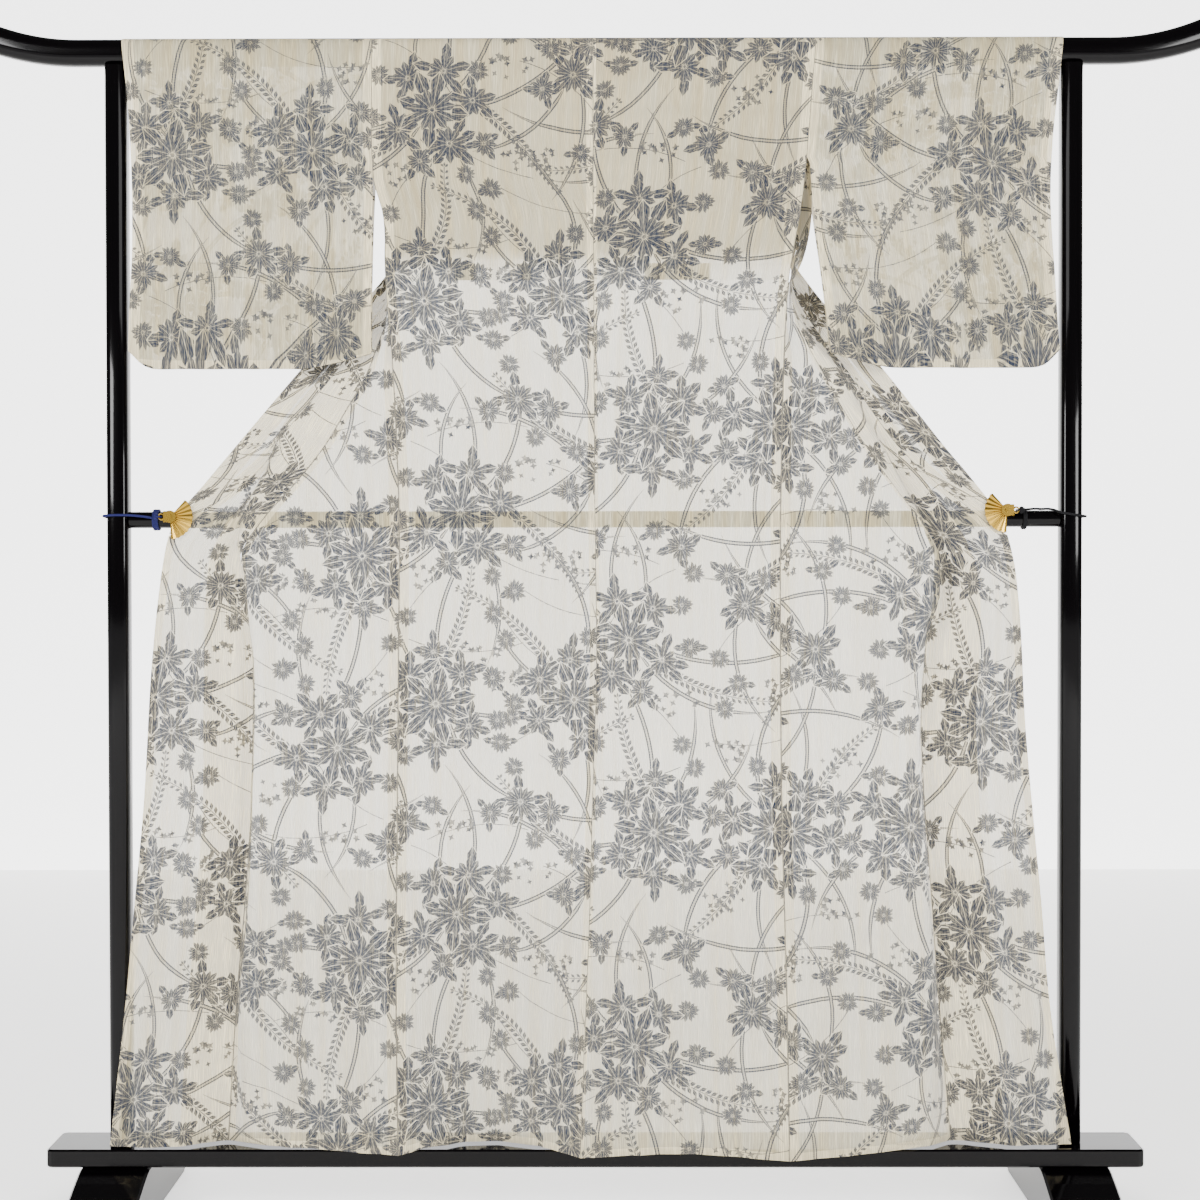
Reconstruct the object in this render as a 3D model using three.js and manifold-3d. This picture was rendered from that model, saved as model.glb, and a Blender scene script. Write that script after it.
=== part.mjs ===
// A komon kimono of sheer summer crepe, hung with its back to the viewer over the top bar of a
// lacquered kimono stand. Its fronts are opened outward and held by a fan clip on each side.
// Millimetres. X runs along the top bar, -Y is the shown side, Z is up, the floor is Z = 0.
import * as THREE from 'three';
import { mergeVertices } from 'three/addons/utils/BufferGeometryUtils.js';
import Module from 'manifold-3d';

const wasm = await Module();
wasm.setup();

// Stand
const barHalf = 930; // half length of the top bar
const barDeep = 34;
const barHigh = 38;
const barMidZ = 1680; // middle of the top bar between the posts
const barRound = 2.6; // 2 is an ellipse, more is squarer
const barRiseFrom = 745; // the bar's ends sweep up beyond this
const barRise = 48;
const postX = 689;
const postWide = 32;
const postDeep = 34;
const crossZ = 1006;
const crossDia = 24;
const beamHalf = 789;
const beamDeep = 90;
const beamTop = 101;
const beamHigh = 26;
const footWide = 100;
const seat = 0.3; // parts that meet stay this far apart

// Cloth
const clothThick = 1.2;
const collarThick = 2.4; // folded double
const seamGap = 0.4;
const clothLift = 0.9; // middle of the cloth above the bar
const kensakiZ = 1470; // the collar leaves the fronts here
const overlapTop = 1456; // top of the overlap panels
const armholeZ = 1525; // a sleeve's body side is sewn above this
const sideSeamTop = 1345; // the side is open from here up to the sleeve
const collarEndZ = 985;
const neckHalf = 105;
const neckAngle = 62; // the neck is cut here, in degrees round the bar from its rear
const tuckTop = 1373;
const tuckBottom = 1349;

const shoulderHalf = 319; // from the middle plane to the sleeve seams, on the bar
const neckLean = 0.36; // the neck widens by this for each degree towards the rear
const hemZ = 104;
const hemDropFrom = 48; // cloth further forward than this hangs lower at the hem
const hemDropRate = 0.28;

// Heights at which the panels are worked out, from the bar down to the hem
const levels = [1635, 1580, armholeZ, kensakiZ, overlapTop, 1440, 1410, 1380, sideSeamTop, 1305,
  1265, 1225, 1190, 1155, 1115, 1075, 1040, 1012, collarEndZ, 970, 930, 885, 830, 760, 680, 590,
  500, 410, 320, 240, 165, hemZ];
const barAngles = [180, 157.5, 135, 112.5, 90, neckAngle + 4, neckAngle, 45, 22.5, 0];
const panelSteps = 9;

function table(names, ...rows) {
  const keys = names.split(' ');
  return rows.map((row) => Object.fromEntries(keys.map((key, i) => [key, row[i]])));
}

// Back: where the centre seam, the middle of each half and each side seam stand at a height.
// The plain names are distances from the middle plane, the Y names are depths.
const back = table('z centre centreY leftMid leftMidY left leftY rightMid rightMidY right rightY',
  [1680, 0, -18, 160, -18, 319, -18, 160, -18, 319, -18],
  [1500, 0, -19, 159, -20, 317, -19, 152, -20, 304, -19],
  [1440, 0, -20, 151, -22, 302, -20, 148, -22, 296, -20],
  [1345, 1, -21, 150, -23, 299, -20, 140, -23, 280, -20],
  [1225, 1, -22, 145, -23, 289, -22, 137, -25, 273, -22],
  [1012, 2, -25, 139, -20, 280, -25, 135, -23, 268, -27],
  [800, 4, -32, 139, -19, 281, -32, 136, -27, 267, -36],
  [600, -2, -42, 142, -18, 282, -41, 134, -36, 268, -46],
  [450, -6, -50, 146, -16, 283, -48, 134, -45, 271, -55],
  [300, -12, -60, 150, -14, 283, -55, 134, -53, 274, -65],
  [104, -20, -72, 154, -11, 280, -66, 130, -62, 276, -80]);

// Each front, from the side seam out: the side, the middle of the front, the ridge of the long
// fold, the valley behind it, the middle of the overlap panel, and the free edge. "held" is how
// much cloth lies between the free edge and the overlap seam, "collar" between it and the collar.
const frontNames = 'z side sideY mid midY ridge ridgeY dip dipY wing wingY edge edgeY held collar';
const frontLeft = table(frontNames,
  [1680, 319, 18, 280, 18, 236, 18, 185, 18, 125, 19, 66, 20, 66, 66],
  [1600, 318, 20, 278, 31, 238, 39, 200, 42, 162, 38, 129, 30, 66, 66],
  [1500, 316, 20, 302, 52, 278, 76, 252, 84, 228, 76, 209, 56, 64, 64],
  [1440, 304, 10, 301, 42, 293, 70, 280, 86, 266, 86, 257, 72, 60, 54],
  [1380, 302, -6, 298, 22, 295, 48, 293, 66, 296, 80, 304, 86, 56, 42],
  [1330, 298, -20, 298, 6, 300, 34, 307, 56, 323, 72, 344, 78, 70, 46],
  [1275, 293, -21, 300, -2, 318, 17, 342, 31, 366, 38, 388, 38, 88, 52],
  [1220, 289, -22, 322, -6, 382, 6, 400, 15, 416, 17, 431, 15, 108, 60],
  [1165, 286, -22, 345, -14, 428, -8, 442, 6, 458, 6, 475, 2, 126, 64],
  [1110, 284, -23, 358, -18, 456, -17, 469, 1, 492, -4, 519, -9, 142, 66],
  [1060, 282, -24, 368, -21, 476, -31, 487, -8, 520, -13, 559, -18, 150, 56],
  [1006, 280, -25, 380, -25, 503, -44, 513, -18, 556, -20, 602, -24, 150, 28],
  [950, 280, -26, 380, -26, 500, -47, 510, -17, 560, -23, 619, -24.5, 138, 0],
  [800, 281, -32, 380, -28, 483, -47, 494, -16, 565, -31, 636, -28, 148, 0],
  [600, 282, -41, 385, -32, 486, -46, 498, -14, 575, -37, 648, -31, 158, 0],
  [450, 283, -48, 388, -36, 494, -44, 506, -12, 585, -40, 662, -33, 162, 0],
  [300, 283, -55, 390, -40, 506, -37, 521, -10, 600, -42, 676, -35, 164, 0],
  [104, 280, -66, 392, -50, 500, -26, 530, -8, 612, -42, 698, -38, 173, 0]);
const frontRight = table(frontNames,
  [1680, 319, 18, 280, 18, 236, 18, 185, 18, 125, 19, 66, 20, 66, 66],
  [1600, 318, 20, 276, 34, 236, 42, 198, 44, 158, 39, 124, 30, 66, 66],
  [1500, 317, 20, 300, 54, 276, 78, 248, 86, 224, 77, 206, 56, 64, 64],
  [1440, 316, 12, 306, 44, 293, 72, 279, 86, 264, 86, 254, 72, 60, 54],
  [1380, 302, -4, 296, 24, 291, 49, 290, 66, 294, 80, 303, 86, 56, 42],
  [1330, 278, -20, 282, 6, 288, 32, 299, 56, 318, 72, 340, 78, 72, 46],
  [1275, 275, -21, 286, -2, 306, 10, 330, 34, 356, 40, 382, 38, 92, 52],
  [1220, 273, -22, 310, -10, 352, -5, 382, 24, 402, 22, 424, 15, 110, 60],
  [1165, 272, -22, 322, -15, 379, -11, 400, 18, 432, 11, 465, 2, 126, 64],
  [1110, 270, -23, 335, -19, 411, -17, 425, 13, 466, 3, 506, -9, 140, 66],
  [1060, 269, -25, 345, -24, 438, -29, 447, 0, 496, -9, 546, -18, 148, 56],
  [1006, 268, -27, 360, -31, 467, -46, 472, -18, 526, -20, 584, -24, 148, 28],
  [950, 268, -29, 366, -34, 488, -55, 491, -19, 542, -22, 602, -24.5, 136, 0],
  [895, 268, -31, 366, -36, 492, -56, 492, -18, 546, -24, 609, -27, 134, 0],
  [840, 267, -34, 364, -38, 472, -49, 480, -16, 546, -27, 613, -28, 138, 0],
  [700, 267, -40, 364, -41, 462, -47, 473, -15, 548, -31, 620, -28, 152, 0],
  [450, 271, -55, 372, -48, 477, -46, 488, -13, 564, -35, 643, -29, 160, 0],
  [300, 274, -65, 378, -54, 487, -42, 499, -11, 576, -35, 656, -29, 162, 0],
  [104, 276, -80, 385, -62, 482, -37, 517, -8, 600, -33, 687, -27, 176, 0]);

// Sleeves: distance of the body side and of the outer edge from the middle plane
const sleeveLeft = table('z inner outer',
  [1699, 319, 679], [1600, 318, 669], [1500, 317, 664], [1390, 319, 664], [1320, 320, 668],
  [1222, 320, 671]);
const sleeveRight = table('z inner outer',
  [1699, 319, 675], [1633, 316, 668], [1550, 310, 659], [1460, 315, 656], [1334, 331, 664],
  [1222, 342, 671]);
const sleeveSteps = 9;
const cuffBottom = 1464; // the outer edge is sewn below this
const sleeveCentreY = -14; // where the bottom of a sleeve hangs
const sleeveBottom = 1222;
const sleeveLayerGap = 5; // half the space between the layers at the bottom
const sleeveWave = 1.6; // depth of the soft upright waves
const sleeveWaves = 17; // their spread across the sleeve, in radians
const sleeveBlend = 1400; // from here up a sleeve bends to the body's edge
const sleeveHeights = [cuffBottom, 1400, 1340, 1285];
const innerCorner = { rise: 22, share: 3.4, power: 1.4 }; // slope of the bottom by the body
const outerCorner = { rise: 26, from: 8, steps: 9 }; // its rounding at the outer edge

function smooth(rows, key, z) {
  const last = rows.length - 1;
  if (z >= rows[0].z) return rows[0][key];
  if (z <= rows[last].z) return rows[last][key];
  let i = 0;
  while (rows[i + 1].z > z) i += 1;
  const slope = (a, b) => (rows[b][key] - rows[a][key]) / (rows[b].z - rows[a].z);
  const span = rows[i + 1].z - rows[i].z;
  const t = (z - rows[i].z) / span;
  const m0 = slope(Math.max(i - 1, 0), i + 1) * span;
  const m1 = slope(i, Math.min(i + 2, last)) * span;
  const t2 = t * t;
  const t3 = t2 * t;
  return (2 * t3 - 3 * t2 + 1) * rows[i][key] + (t3 - 2 * t2 + t) * m0
    + (3 * t2 - 2 * t3) * rows[i + 1][key] + (t3 - t2) * m1;
}

// Section curves

function curveThrough(rows, z, hand, names) {
  const knots = names.map((name) => {
    const along = smooth(rows, name, z);
    return new THREE.Vector3(hand * along, smooth(rows, `${name}Y`, z), z);
  });
  return new THREE.CatmullRomCurve3(knots, false, 'centripetal');
}

function backCurve(z, hand) {
  const side = hand < 0 ? 'left' : 'right';
  const curve = curveThrough(back, z, hand, ['centre', `${side}Mid`, side]);
  curve.points[0].x = smooth(back, 'centre', z);
  return curve;
}

function frontCurve(z, hand) {
  const rows = hand < 0 ? frontLeft : frontRight;
  const curve = curveThrough(rows, z, hand, ['side', 'mid', 'ridge', 'dip', 'wing', 'edge']);
  if (z <= sideSeamTop) {
    const side = backCurve(z, hand).points[2];
    curve.points[0].set(side.x, side.y, z);
  }
  return curve;
}

// Shares of a front's length at which the front, the overlap panel and the collar end
function frontShares(curve, z, hand) {
  const rows = hand < 0 ? frontLeft : frontRight;
  const whole = curve.getLength();
  const collar = z < collarEndZ ? 0 : Math.max(smooth(rows, 'collar', z), 10);
  const held = z >= kensakiZ ? collar : Math.max(smooth(rows, 'held', z), collar + 3);
  return { front: 1 - held / whole, overlap: 1 - collar / whole };
}

// A point of the cloth and the way its right side faces
function spot(curve, share, hand, turn) {
  const tangent = turn ?? curve.getTangentAt(share);
  const faces = new THREE.Vector3(tangent.y, -tangent.x, 0).multiplyScalar(hand).normalize();
  return { p: curve.getPointAt(share), faces, along: curve.getTangentAt(share) };
}

// The hem sits just above the beam and dips a little where it hangs in front of it
function dropHem(at) {
  if (at.p.z <= hemZ) at.p.z -= Math.max(0, -at.p.y - hemDropFrom) * hemDropRate;
  return at;
}

function pullBack(at, way, gap = seamGap) {
  at.p.addScaledVector(at.along, way * gap / 2);
  return at;
}

function meanTurn(one, other) {
  return one.clone().add(other).normalize();
}

function backRow(z, hand) {
  const curve = backCurve(z, hand);
  const other = backCurve(z, -hand);
  const row = [];
  for (let j = 0; j <= panelSteps; j += 1) {
    let turn;
    if (j === 0) turn = meanTurn(curve.getTangentAt(0), other.getTangentAt(0).negate());
    if (j === panelSteps && z <= sideSeamTop) {
      turn = meanTurn(curve.getTangentAt(1), frontCurve(z, hand).getTangentAt(0));
    }
    const at = spot(curve, j / panelSteps, hand, turn);
    if (j === 0) pullBack(at, 1);
    if (j === panelSteps) pullBack(at, -1);
    row.push(dropHem(at));
  }
  return row;
}

function frontRow(z, hand) {
  const curve = frontCurve(z, hand);
  const end = frontShares(curve, z, hand).front;
  const row = [];
  for (let j = 0; j <= panelSteps; j += 1) {
    let turn;
    if (j === panelSteps && z <= sideSeamTop) {
      turn = meanTurn(curve.getTangentAt(0), backCurve(z, hand).getTangentAt(1));
    }
    const at = spot(curve, end * (1 - j / panelSteps), hand, turn);
    if (j === 0) pullBack(at, -1);
    if (j === panelSteps) pullBack(at, 1);
    row.push(dropHem(at));
  }
  return row;
}

// Outline of the top bar, grown by lift, at an angle from its rear (0) over its top to its front
function barSpot(angle, lift) {
  const a = THREE.MathUtils.degToRad(angle);
  const cos = Math.cos(a);
  const sin = Math.sin(a);
  const power = 2 / barRound;
  const y = (barDeep / 2) * Math.sign(cos) * Math.abs(cos) ** power;
  const z = (barHigh / 2) * Math.sign(sin) * Math.abs(sin) ** power;
  const faces = new THREE.Vector3(0, Math.sign(cos) * Math.abs(cos) ** (2 - power) / barDeep,
    Math.sign(sin) * Math.abs(sin) ** (2 - power) / barHigh).normalize();
  const p = new THREE.Vector3(0, y, barMidZ + z).addScaledVector(faces, lift);
  return { p, faces };
}

// Distance from the middle plane to the neck's cut edge at an angle of the bar
function neckEdge(angle) {
  return neckHalf + (neckAngle - angle) * neckLean;
}

function barRow(angle, hand) {
  const inner = angle > neckAngle ? seamGap / 2 : neckEdge(angle);
  const outer = shoulderHalf - seamGap / 2;
  const row = [];
  for (let j = 0; j <= panelSteps; j += 1) {
    const at = barSpot(angle, clothLift);
    at.p.x = hand * (inner + (outer - inner) * j / panelSteps);
    row.push(at);
  }
  return row;
}

// Closed walls

function orient(geometry) {
  const p = geometry.getAttribute('position');
  const index = geometry.getIndex();
  const [a, b, c] = [new THREE.Vector3(), new THREE.Vector3(), new THREE.Vector3()];
  let volume = 0;
  for (let i = 0; i < index.count; i += 3) {
    a.fromBufferAttribute(p, index.getX(i));
    b.fromBufferAttribute(p, index.getX(i + 1));
    c.fromBufferAttribute(p, index.getX(i + 2));
    volume += a.dot(b.cross(c));
  }
  if (volume < 0) {
    const list = Array.from(index.array);
    for (let i = 0; i < list.length; i += 3) [list[i], list[i + 1]] = [list[i + 1], list[i]];
    geometry.setIndex(list);
  }
  geometry.computeVertexNormals();
  return geometry;
}

// A wall of even thickness on a grid of spots. A looped grid joins its last column to its first.
function wall(grid, thick, looped = false) {
  const rows = grid.length;
  const cols = grid[0].length;
  const places = [];
  for (const side of [0.5, -0.5]) {
    for (const row of grid) {
      for (const at of row) {
        const v = at.p.clone().addScaledVector(at.faces, side * thick);
        places.push(v.x, v.y, v.z);
      }
    }
  }
  const faces = [];
  const id = (layer, i, j) => layer * rows * cols + i * cols + (j % cols);
  const quad = (a, b, c, d) => faces.push(a, b, c, a, c, d);
  const spans = looped ? cols : cols - 1;
  for (let i = 0; i < rows - 1; i += 1) {
    for (let j = 0; j < spans; j += 1) {
      quad(id(0, i, j), id(0, i, j + 1), id(0, i + 1, j + 1), id(0, i + 1, j));
      quad(id(1, i, j), id(1, i + 1, j), id(1, i + 1, j + 1), id(1, i, j + 1));
    }
  }
  for (let j = 0; j < spans; j += 1) {
    quad(id(0, 0, j + 1), id(0, 0, j), id(1, 0, j), id(1, 0, j + 1));
    quad(id(0, rows - 1, j), id(0, rows - 1, j + 1), id(1, rows - 1, j + 1), id(1, rows - 1, j));
  }
  for (let i = 0; i < rows - 1 && !looped; i += 1) {
    quad(id(0, i, 0), id(0, i + 1, 0), id(1, i + 1, 0), id(1, i, 0));
    quad(id(0, i + 1, cols - 1), id(0, i, cols - 1), id(1, i, cols - 1), id(1, i + 1, cols - 1));
  }
  const geometry = new THREE.BufferGeometry();
  geometry.setAttribute('position', new THREE.Float32BufferAttribute(places, 3));
  geometry.setIndex(faces);
  return orient(geometry);
}

// Joins and cuts

function toSolid(geometry) {
  const bare = geometry.clone();
  for (const name of Object.keys(bare.attributes)) {
    if (name !== 'position') bare.deleteAttribute(name);
  }
  const merged = mergeVertices(bare, 1e-4);
  return new wasm.Manifold(new wasm.Mesh({
    numProp: 3,
    vertProperties: new Float32Array(merged.getAttribute('position').array),
    triVerts: new Uint32Array(merged.getIndex().array),
  }));
}

function toGeometry(solid) {
  const mesh = solid.getMesh();
  const geometry = new THREE.BufferGeometry();
  geometry.setAttribute('position', new THREE.Float32BufferAttribute(mesh.vertProperties, 3));
  geometry.setIndex(Array.from(mesh.triVerts));
  geometry.computeVertexNormals();
  return geometry;
}

function join(...parts) {
  let whole = toSolid(parts[0]);
  for (const part of parts.slice(1)) whole = whole.add(toSolid(part));
  return toGeometry(whole);
}

function cut(body, ...tools) {
  let left = toSolid(body);
  for (const tool of tools) left = left.subtract(toSolid(tool));
  return toGeometry(left);
}

// Cloth pieces

function bodyPanel(hand) {
  const rows = [];
  for (let i = levels.length - 1; i >= 0; i -= 1) rows.push(backRow(levels[i], hand));
  for (const angle of barAngles) rows.push(barRow(angle, hand));
  for (const z of levels) rows.push(frontRow(z, hand));
  return wall(rows, clothThick);
}

function overlapPanel(hand) {
  const steps = 4;
  const heights = levels.filter((z) => z <= overlapTop);
  const rows = heights.map((z) => {
    const curve = frontCurve(z, hand);
    const { front, overlap } = frontShares(curve, z, hand);
    const row = [];
    for (let j = 0; j <= steps; j += 1) {
      const at = spot(curve, front + (overlap - front) * j / steps, hand);
      if (j === 0) pullBack(at, 1);
      if (j === steps) pullBack(at, -1);
      row.push(dropHem(at));
    }
    return row;
  });
  return wall(rows, clothThick);
}

const collarSteps = 5;

function collarSide(hand) {
  const heights = levels.filter((z) => z >= collarEndZ);
  return heights.map((z) => {
    const curve = frontCurve(z, hand);
    const from = frontShares(curve, z, hand).overlap;
    const row = [];
    for (let j = 0; j <= collarSteps; j += 1) {
      const at = spot(curve, from + (1 - from) * j / collarSteps, hand);
      if (j === 0) pullBack(at, 1, collarThick);
      row.push(at);
    }
    return row;
  });
}

// Behind the bar the collar hangs from the neck seam, and turns into its two long sides
const napeAngle = neckAngle - 4;
const collarNeck = table('angle seam edge edgeZ edgeY',
  [0, neckEdge(0) - seamGap, 91, 1640, 25], [22.5, neckEdge(22.5) - seamGap, 86, 1643, 24],
  [45, neckEdge(45) - seamGap, 79, 1645, 23], [napeAngle, neckHalf - 3, 70, 1645, 22],
  [napeAngle, 54, 40, 1644, 21], [napeAngle, 0, 0, 1643, 21]);
const collarDown = table('turn drop', [1, 0], [0.6, 0], [0.25, 0], [0, 0], [0, 0.5], [0, 1]);

function collarNeckRow(row, hand) {
  const lift = collarThick / 2 + 0.8;
  return collarDown.map(({ turn, drop }, j) => {
    const at = barSpot(row.angle * turn, lift);
    at.p.y += (row.edgeY - at.p.y) * drop;
    at.p.z += (row.edgeZ - at.p.z) * drop;
    at.p.x = hand * (row.seam + (row.edge - row.seam) * j / collarSteps);
    return at;
  });
}

function collar() {
  const left = collarSide(-1).reverse();
  const right = collarSide(1);
  const neckLeft = collarNeck.map((row) => collarNeckRow(row, -1));
  const neckRight = collarNeck.slice(0, -1).map((row) => collarNeckRow(row, 1)).reverse();
  return wall([...left, ...neckLeft, ...neckRight, ...right], collarThick);
}

// The edge of the body that a sleeve's layer is sewn to. Side 1 is the rear layer.
function bodySide(z, hand, side) {
  return side < 0 ? backCurve(z, hand).points[2] : frontCurve(z, hand).points[0];
}

function sleeveLayer(rows, hand, share, z, side) {
  const t = Math.min(1, Math.max(0, (barMidZ - z) / (barMidZ - sleeveBottom)));
  const lean = t * t * (3 - 2 * t);
  const wave = sleeveWave * t * Math.sin(share * sleeveWaves + 3 * t);
  const half = barDeep / 2 + clothLift + (sleeveLayerGap - barDeep / 2 - clothLift) * lean;
  const sewn = bodySide(z, hand, side);
  const inner = z >= armholeZ ? Math.abs(sewn.x) + seamGap : smooth(rows, 'inner', z);
  const near = (1 - share) ** 2 * THREE.MathUtils.smoothstep(z, sleeveBlend, armholeZ);
  let y = sleeveCentreY * lean + side * half + wave;
  y += (sewn.y - y) * near;
  const x = hand * (inner + (smooth(rows, 'outer', z) - inner) * share);
  return { p: new THREE.Vector3(x, y, z), faces: new THREE.Vector3(0, side, 0) };
}

function sleeveLow(share) {
  const inner = Math.max(0, 1 - share * innerCorner.share) ** innerCorner.power;
  const outer = Math.max(0, share * outerCorner.steps - outerCorner.from) ** 2;
  return sleeveBottom + innerCorner.rise * inner + outerCorner.rise * outer;
}

function sleeveRing(rows, hand, share) {
  const bottom = sleeveLow(share);
  const heights = [...levels.filter((z) => z >= armholeZ), ...sleeveHeights, bottom + 12];
  const layer = (z, side) => sleeveLayer(rows, hand, share, z, side);
  const ring = heights.map((z) => layer(z, 1));
  for (const side of [1, -1]) {
    const corner = layer(bottom + 3, side);
    corner.p.y -= side * 2;
    corner.faces.set(0, side, -1).normalize();
    ring.push(corner);
  }
  ring.push(...[...heights].reverse().map((z) => layer(z, -1)));
  const inner = shoulderHalf + seamGap / 2;
  for (const angle of barAngles.filter((a) => a !== neckAngle + 4)) {
    const at = barSpot(angle, clothLift);
    at.p.x = hand * (inner + (smooth(rows, 'outer', at.p.z) - inner) * share);
    ring.push(at);
  }
  return ring;
}

function sleeve(rows, hand) {
  const grid = [];
  for (let i = 0; i <= sleeveSteps; i += 1) grid.push(sleeveRing(rows, hand, i / sleeveSteps));
  const tube = wall(grid, clothThick, true);
  const closing = grid[sleeveSteps].filter((at) => at.p.z <= cuffBottom);
  const inside = closing.map((at) => ({
    p: at.p.clone().setX(at.p.x - hand * clothThick), faces: at.faces,
  }));
  return join(tube, outerSeam(closing, inside));
}

// The sewn outer edge of a sleeve: a thin strip between its two layers
function outerSeam(outside, inside) {
  const count = outside.length;
  const places = [...outside, ...inside].flatMap((at) => [at.p.x, at.p.y, at.p.z]);
  const faces = [];
  for (let k = 0; k < count; k += 1) {
    const next = (k + 1) % count;
    faces.push(k, next, count + next, k, count + next, count + k);
  }
  for (let k = 0; k < count / 2 - 1; k += 1) {
    const mirror = count - 1 - k;
    if (mirror - 1 > k + 1) {
      faces.push(k, mirror, mirror - 1, k, mirror - 1, k + 1);
      faces.push(count + k, count + mirror - 1, count + mirror);
      faces.push(count + k, count + k + 1, count + mirror - 1);
    } else if (mirror - 1 > k) {
      faces.push(k, mirror, mirror - 1);
      faces.push(count + k, count + mirror - 1, count + mirror);
    }
  }
  const geometry = new THREE.BufferGeometry();
  geometry.setAttribute('position', new THREE.Float32BufferAttribute(places, 3));
  geometry.setIndex(faces);
  return orient(geometry);
}

// The waist tuck is a fold that lies against the inside of each back
function tuck(hand) {
  const lift = clothThick + 0.6;
  const rows = [tuckTop, tuckBottom].map((z) => {
    const curve = backCurve(z, hand);
    const row = [];
    for (let j = 0; j <= panelSteps; j += 1) {
      const at = spot(curve, 0.004 + 0.97 * j / panelSteps, hand);
      at.p.addScaledVector(at.faces, -lift);
      row.push(at);
    }
    return row;
  });
  return wall(rows, clothThick);
}

// Stand pieces

function barRise01(x) {
  const over = Math.max(0, Math.abs(x) - barRiseFrom) / (barHalf - barRiseFrom);
  return barRise * over * over;
}

// A solid through equal rings. Ends that aren't convex need the flat view of a ring.
function ringSolid(rings, flat) {
  const places = rings.flat().flatMap((v) => [v.x, v.y, v.z]);
  const n = rings[0].length;
  const faces = [];
  for (let i = 0; i < rings.length - 1; i += 1) {
    for (let j = 0; j < n; j += 1) {
      const k = (j + 1) % n;
      const [a, b, c, d] = [i * n + j, i * n + k, (i + 1) * n + k, (i + 1) * n + j];
      faces.push(a, b, c, a, c, d);
    }
  }
  const last = (rings.length - 1) * n;
  const fan = Array.from({ length: n - 2 }, (_, j) => [0, j + 1, j + 2]);
  const ends = flat ? THREE.ShapeUtils.triangulateShape(rings[0].map(flat), []) : fan;
  for (const [a, b, c] of ends) faces.push(a, c, b, last + a, last + b, last + c);
  const geometry = new THREE.BufferGeometry();
  geometry.setAttribute('position', new THREE.Float32BufferAttribute(places, 3));
  geometry.setIndex(faces);
  return orient(geometry);
}

function topBar(grow = 0) {
  const angles = [];
  for (const angle of barAngles) angles.push(angle);
  for (let angle = 337.5; angle > 180; angle -= 22.5) angles.push(angle);
  const stations = [-barHalf, -barHalf + 5, -barHalf + 40, -860, -820, -780, -barRiseFrom];
  const all = [...stations, ...stations.map((x) => -x).reverse()];
  const rings = all.map((x) => {
    const slope = (barRise01(Math.abs(x) + 1) - barRise01(Math.abs(x) - 1)) / 2 * Math.sign(x);
    const shrink = Math.abs(x) === barHalf ? 4 : 0;
    return angles.map((angle) => {
      const { p } = barSpot(angle, grow - shrink);
      const up = p.z - barMidZ;
      return new THREE.Vector3(x - up * slope, p.y, p.z + barRise01(x));
    });
  });
  return ringSolid(rings);
}

function roundedRing(wide, deep, power, count, place) {
  const ring = [];
  for (let k = 0; k < count; k += 1) {
    const a = (2 * Math.PI * (k + 0.5)) / count;
    const u = (wide / 2) * Math.sign(Math.cos(a)) * Math.abs(Math.cos(a)) ** (2 / power);
    const v = (deep / 2) * Math.sign(Math.sin(a)) * Math.abs(Math.sin(a)) ** (2 / power);
    ring.push(place(u, v));
  }
  return ring;
}

function post(hand, grow = 0) {
  const at = (z) => roundedRing(postWide + 2 * grow, postDeep + 2 * grow, barRound, 16,
    (u, v) => new THREE.Vector3(hand * postX + u, v, z));
  const shaft = ringSolid([at(beamTop + seat), at(barMidZ - 6)]);
  return grow ? shaft : cut(shaft, topBar(seat));
}

function crossBar() {
  const at = (x) => roundedRing(crossDia, crossDia, 2, 16,
    (u, v) => new THREE.Vector3(x, u, crossZ + v));
  const reach = postX - postWide / 4;
  return cut(ringSolid([at(-reach), at(reach)]), post(-1, seat), post(1, seat));
}

function beam() {
  const half = { x: beamHalf, y: beamDeep / 2 };
  const corner = 9;
  const edge = 2.5;
  const outline = (inset) => {
    const ring = [];
    for (let q = 0; q < 4; q += 1) {
      const sx = q === 0 || q === 3 ? 1 : -1;
      const sy = q < 2 ? 1 : -1;
      for (const part of [0, 0.5, 1]) {
        const a = (Math.PI / 2) * (q + part);
        const x = sx * (half.x - corner) + (corner - inset) * Math.cos(a);
        const y = sy * (half.y - corner) + (corner - inset) * Math.sin(a);
        ring.push([x, y]);
      }
    }
    return ring;
  };
  const low = beamTop - beamHigh;
  const layers = [[low, edge], [low + edge, 0], [beamTop - edge, 0], [beamTop, edge]];
  return ringSolid(layers.map(([z, inset]) => outline(inset)
    .map(([x, y]) => new THREE.Vector3(x, y, z))));
}

// Side view of a foot's rear half, from its underside round the nose to the middle of its top
const footReach = 210;
const footBevel = 3;
const footSide = [[182, 0], [201, 8], [footReach, 20], [203, 29], [185, 30], [150, 37], [111, 50],
  [80, 63], [56, 72], [44, beamTop - beamHigh - seat]];
const footTopFrom = 3; // the points from this one on lie on the top

function foot(hand) {
  const ring = (x, inset) => {
    const rear = footSide.map(([y, z], i) => [y * (1 - inset / footReach),
      i < footTopFrom ? z : z - inset]);
    const front = rear.map(([y, z]) => [-y, z]).reverse();
    return [...rear, ...front].map(([y, z]) => new THREE.Vector3(x, y, z));
  };
  const x0 = hand * postX - footWide / 2;
  const x1 = x0 + footWide;
  const rings = [ring(x0, footBevel), ring(x0 + footBevel, 0), ring(x1 - footBevel, 0),
    ring(x1, footBevel)];
  return ringSolid(rings, (v) => new THREE.Vector2(v.y, v.z));
}

// Fan clips

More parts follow.
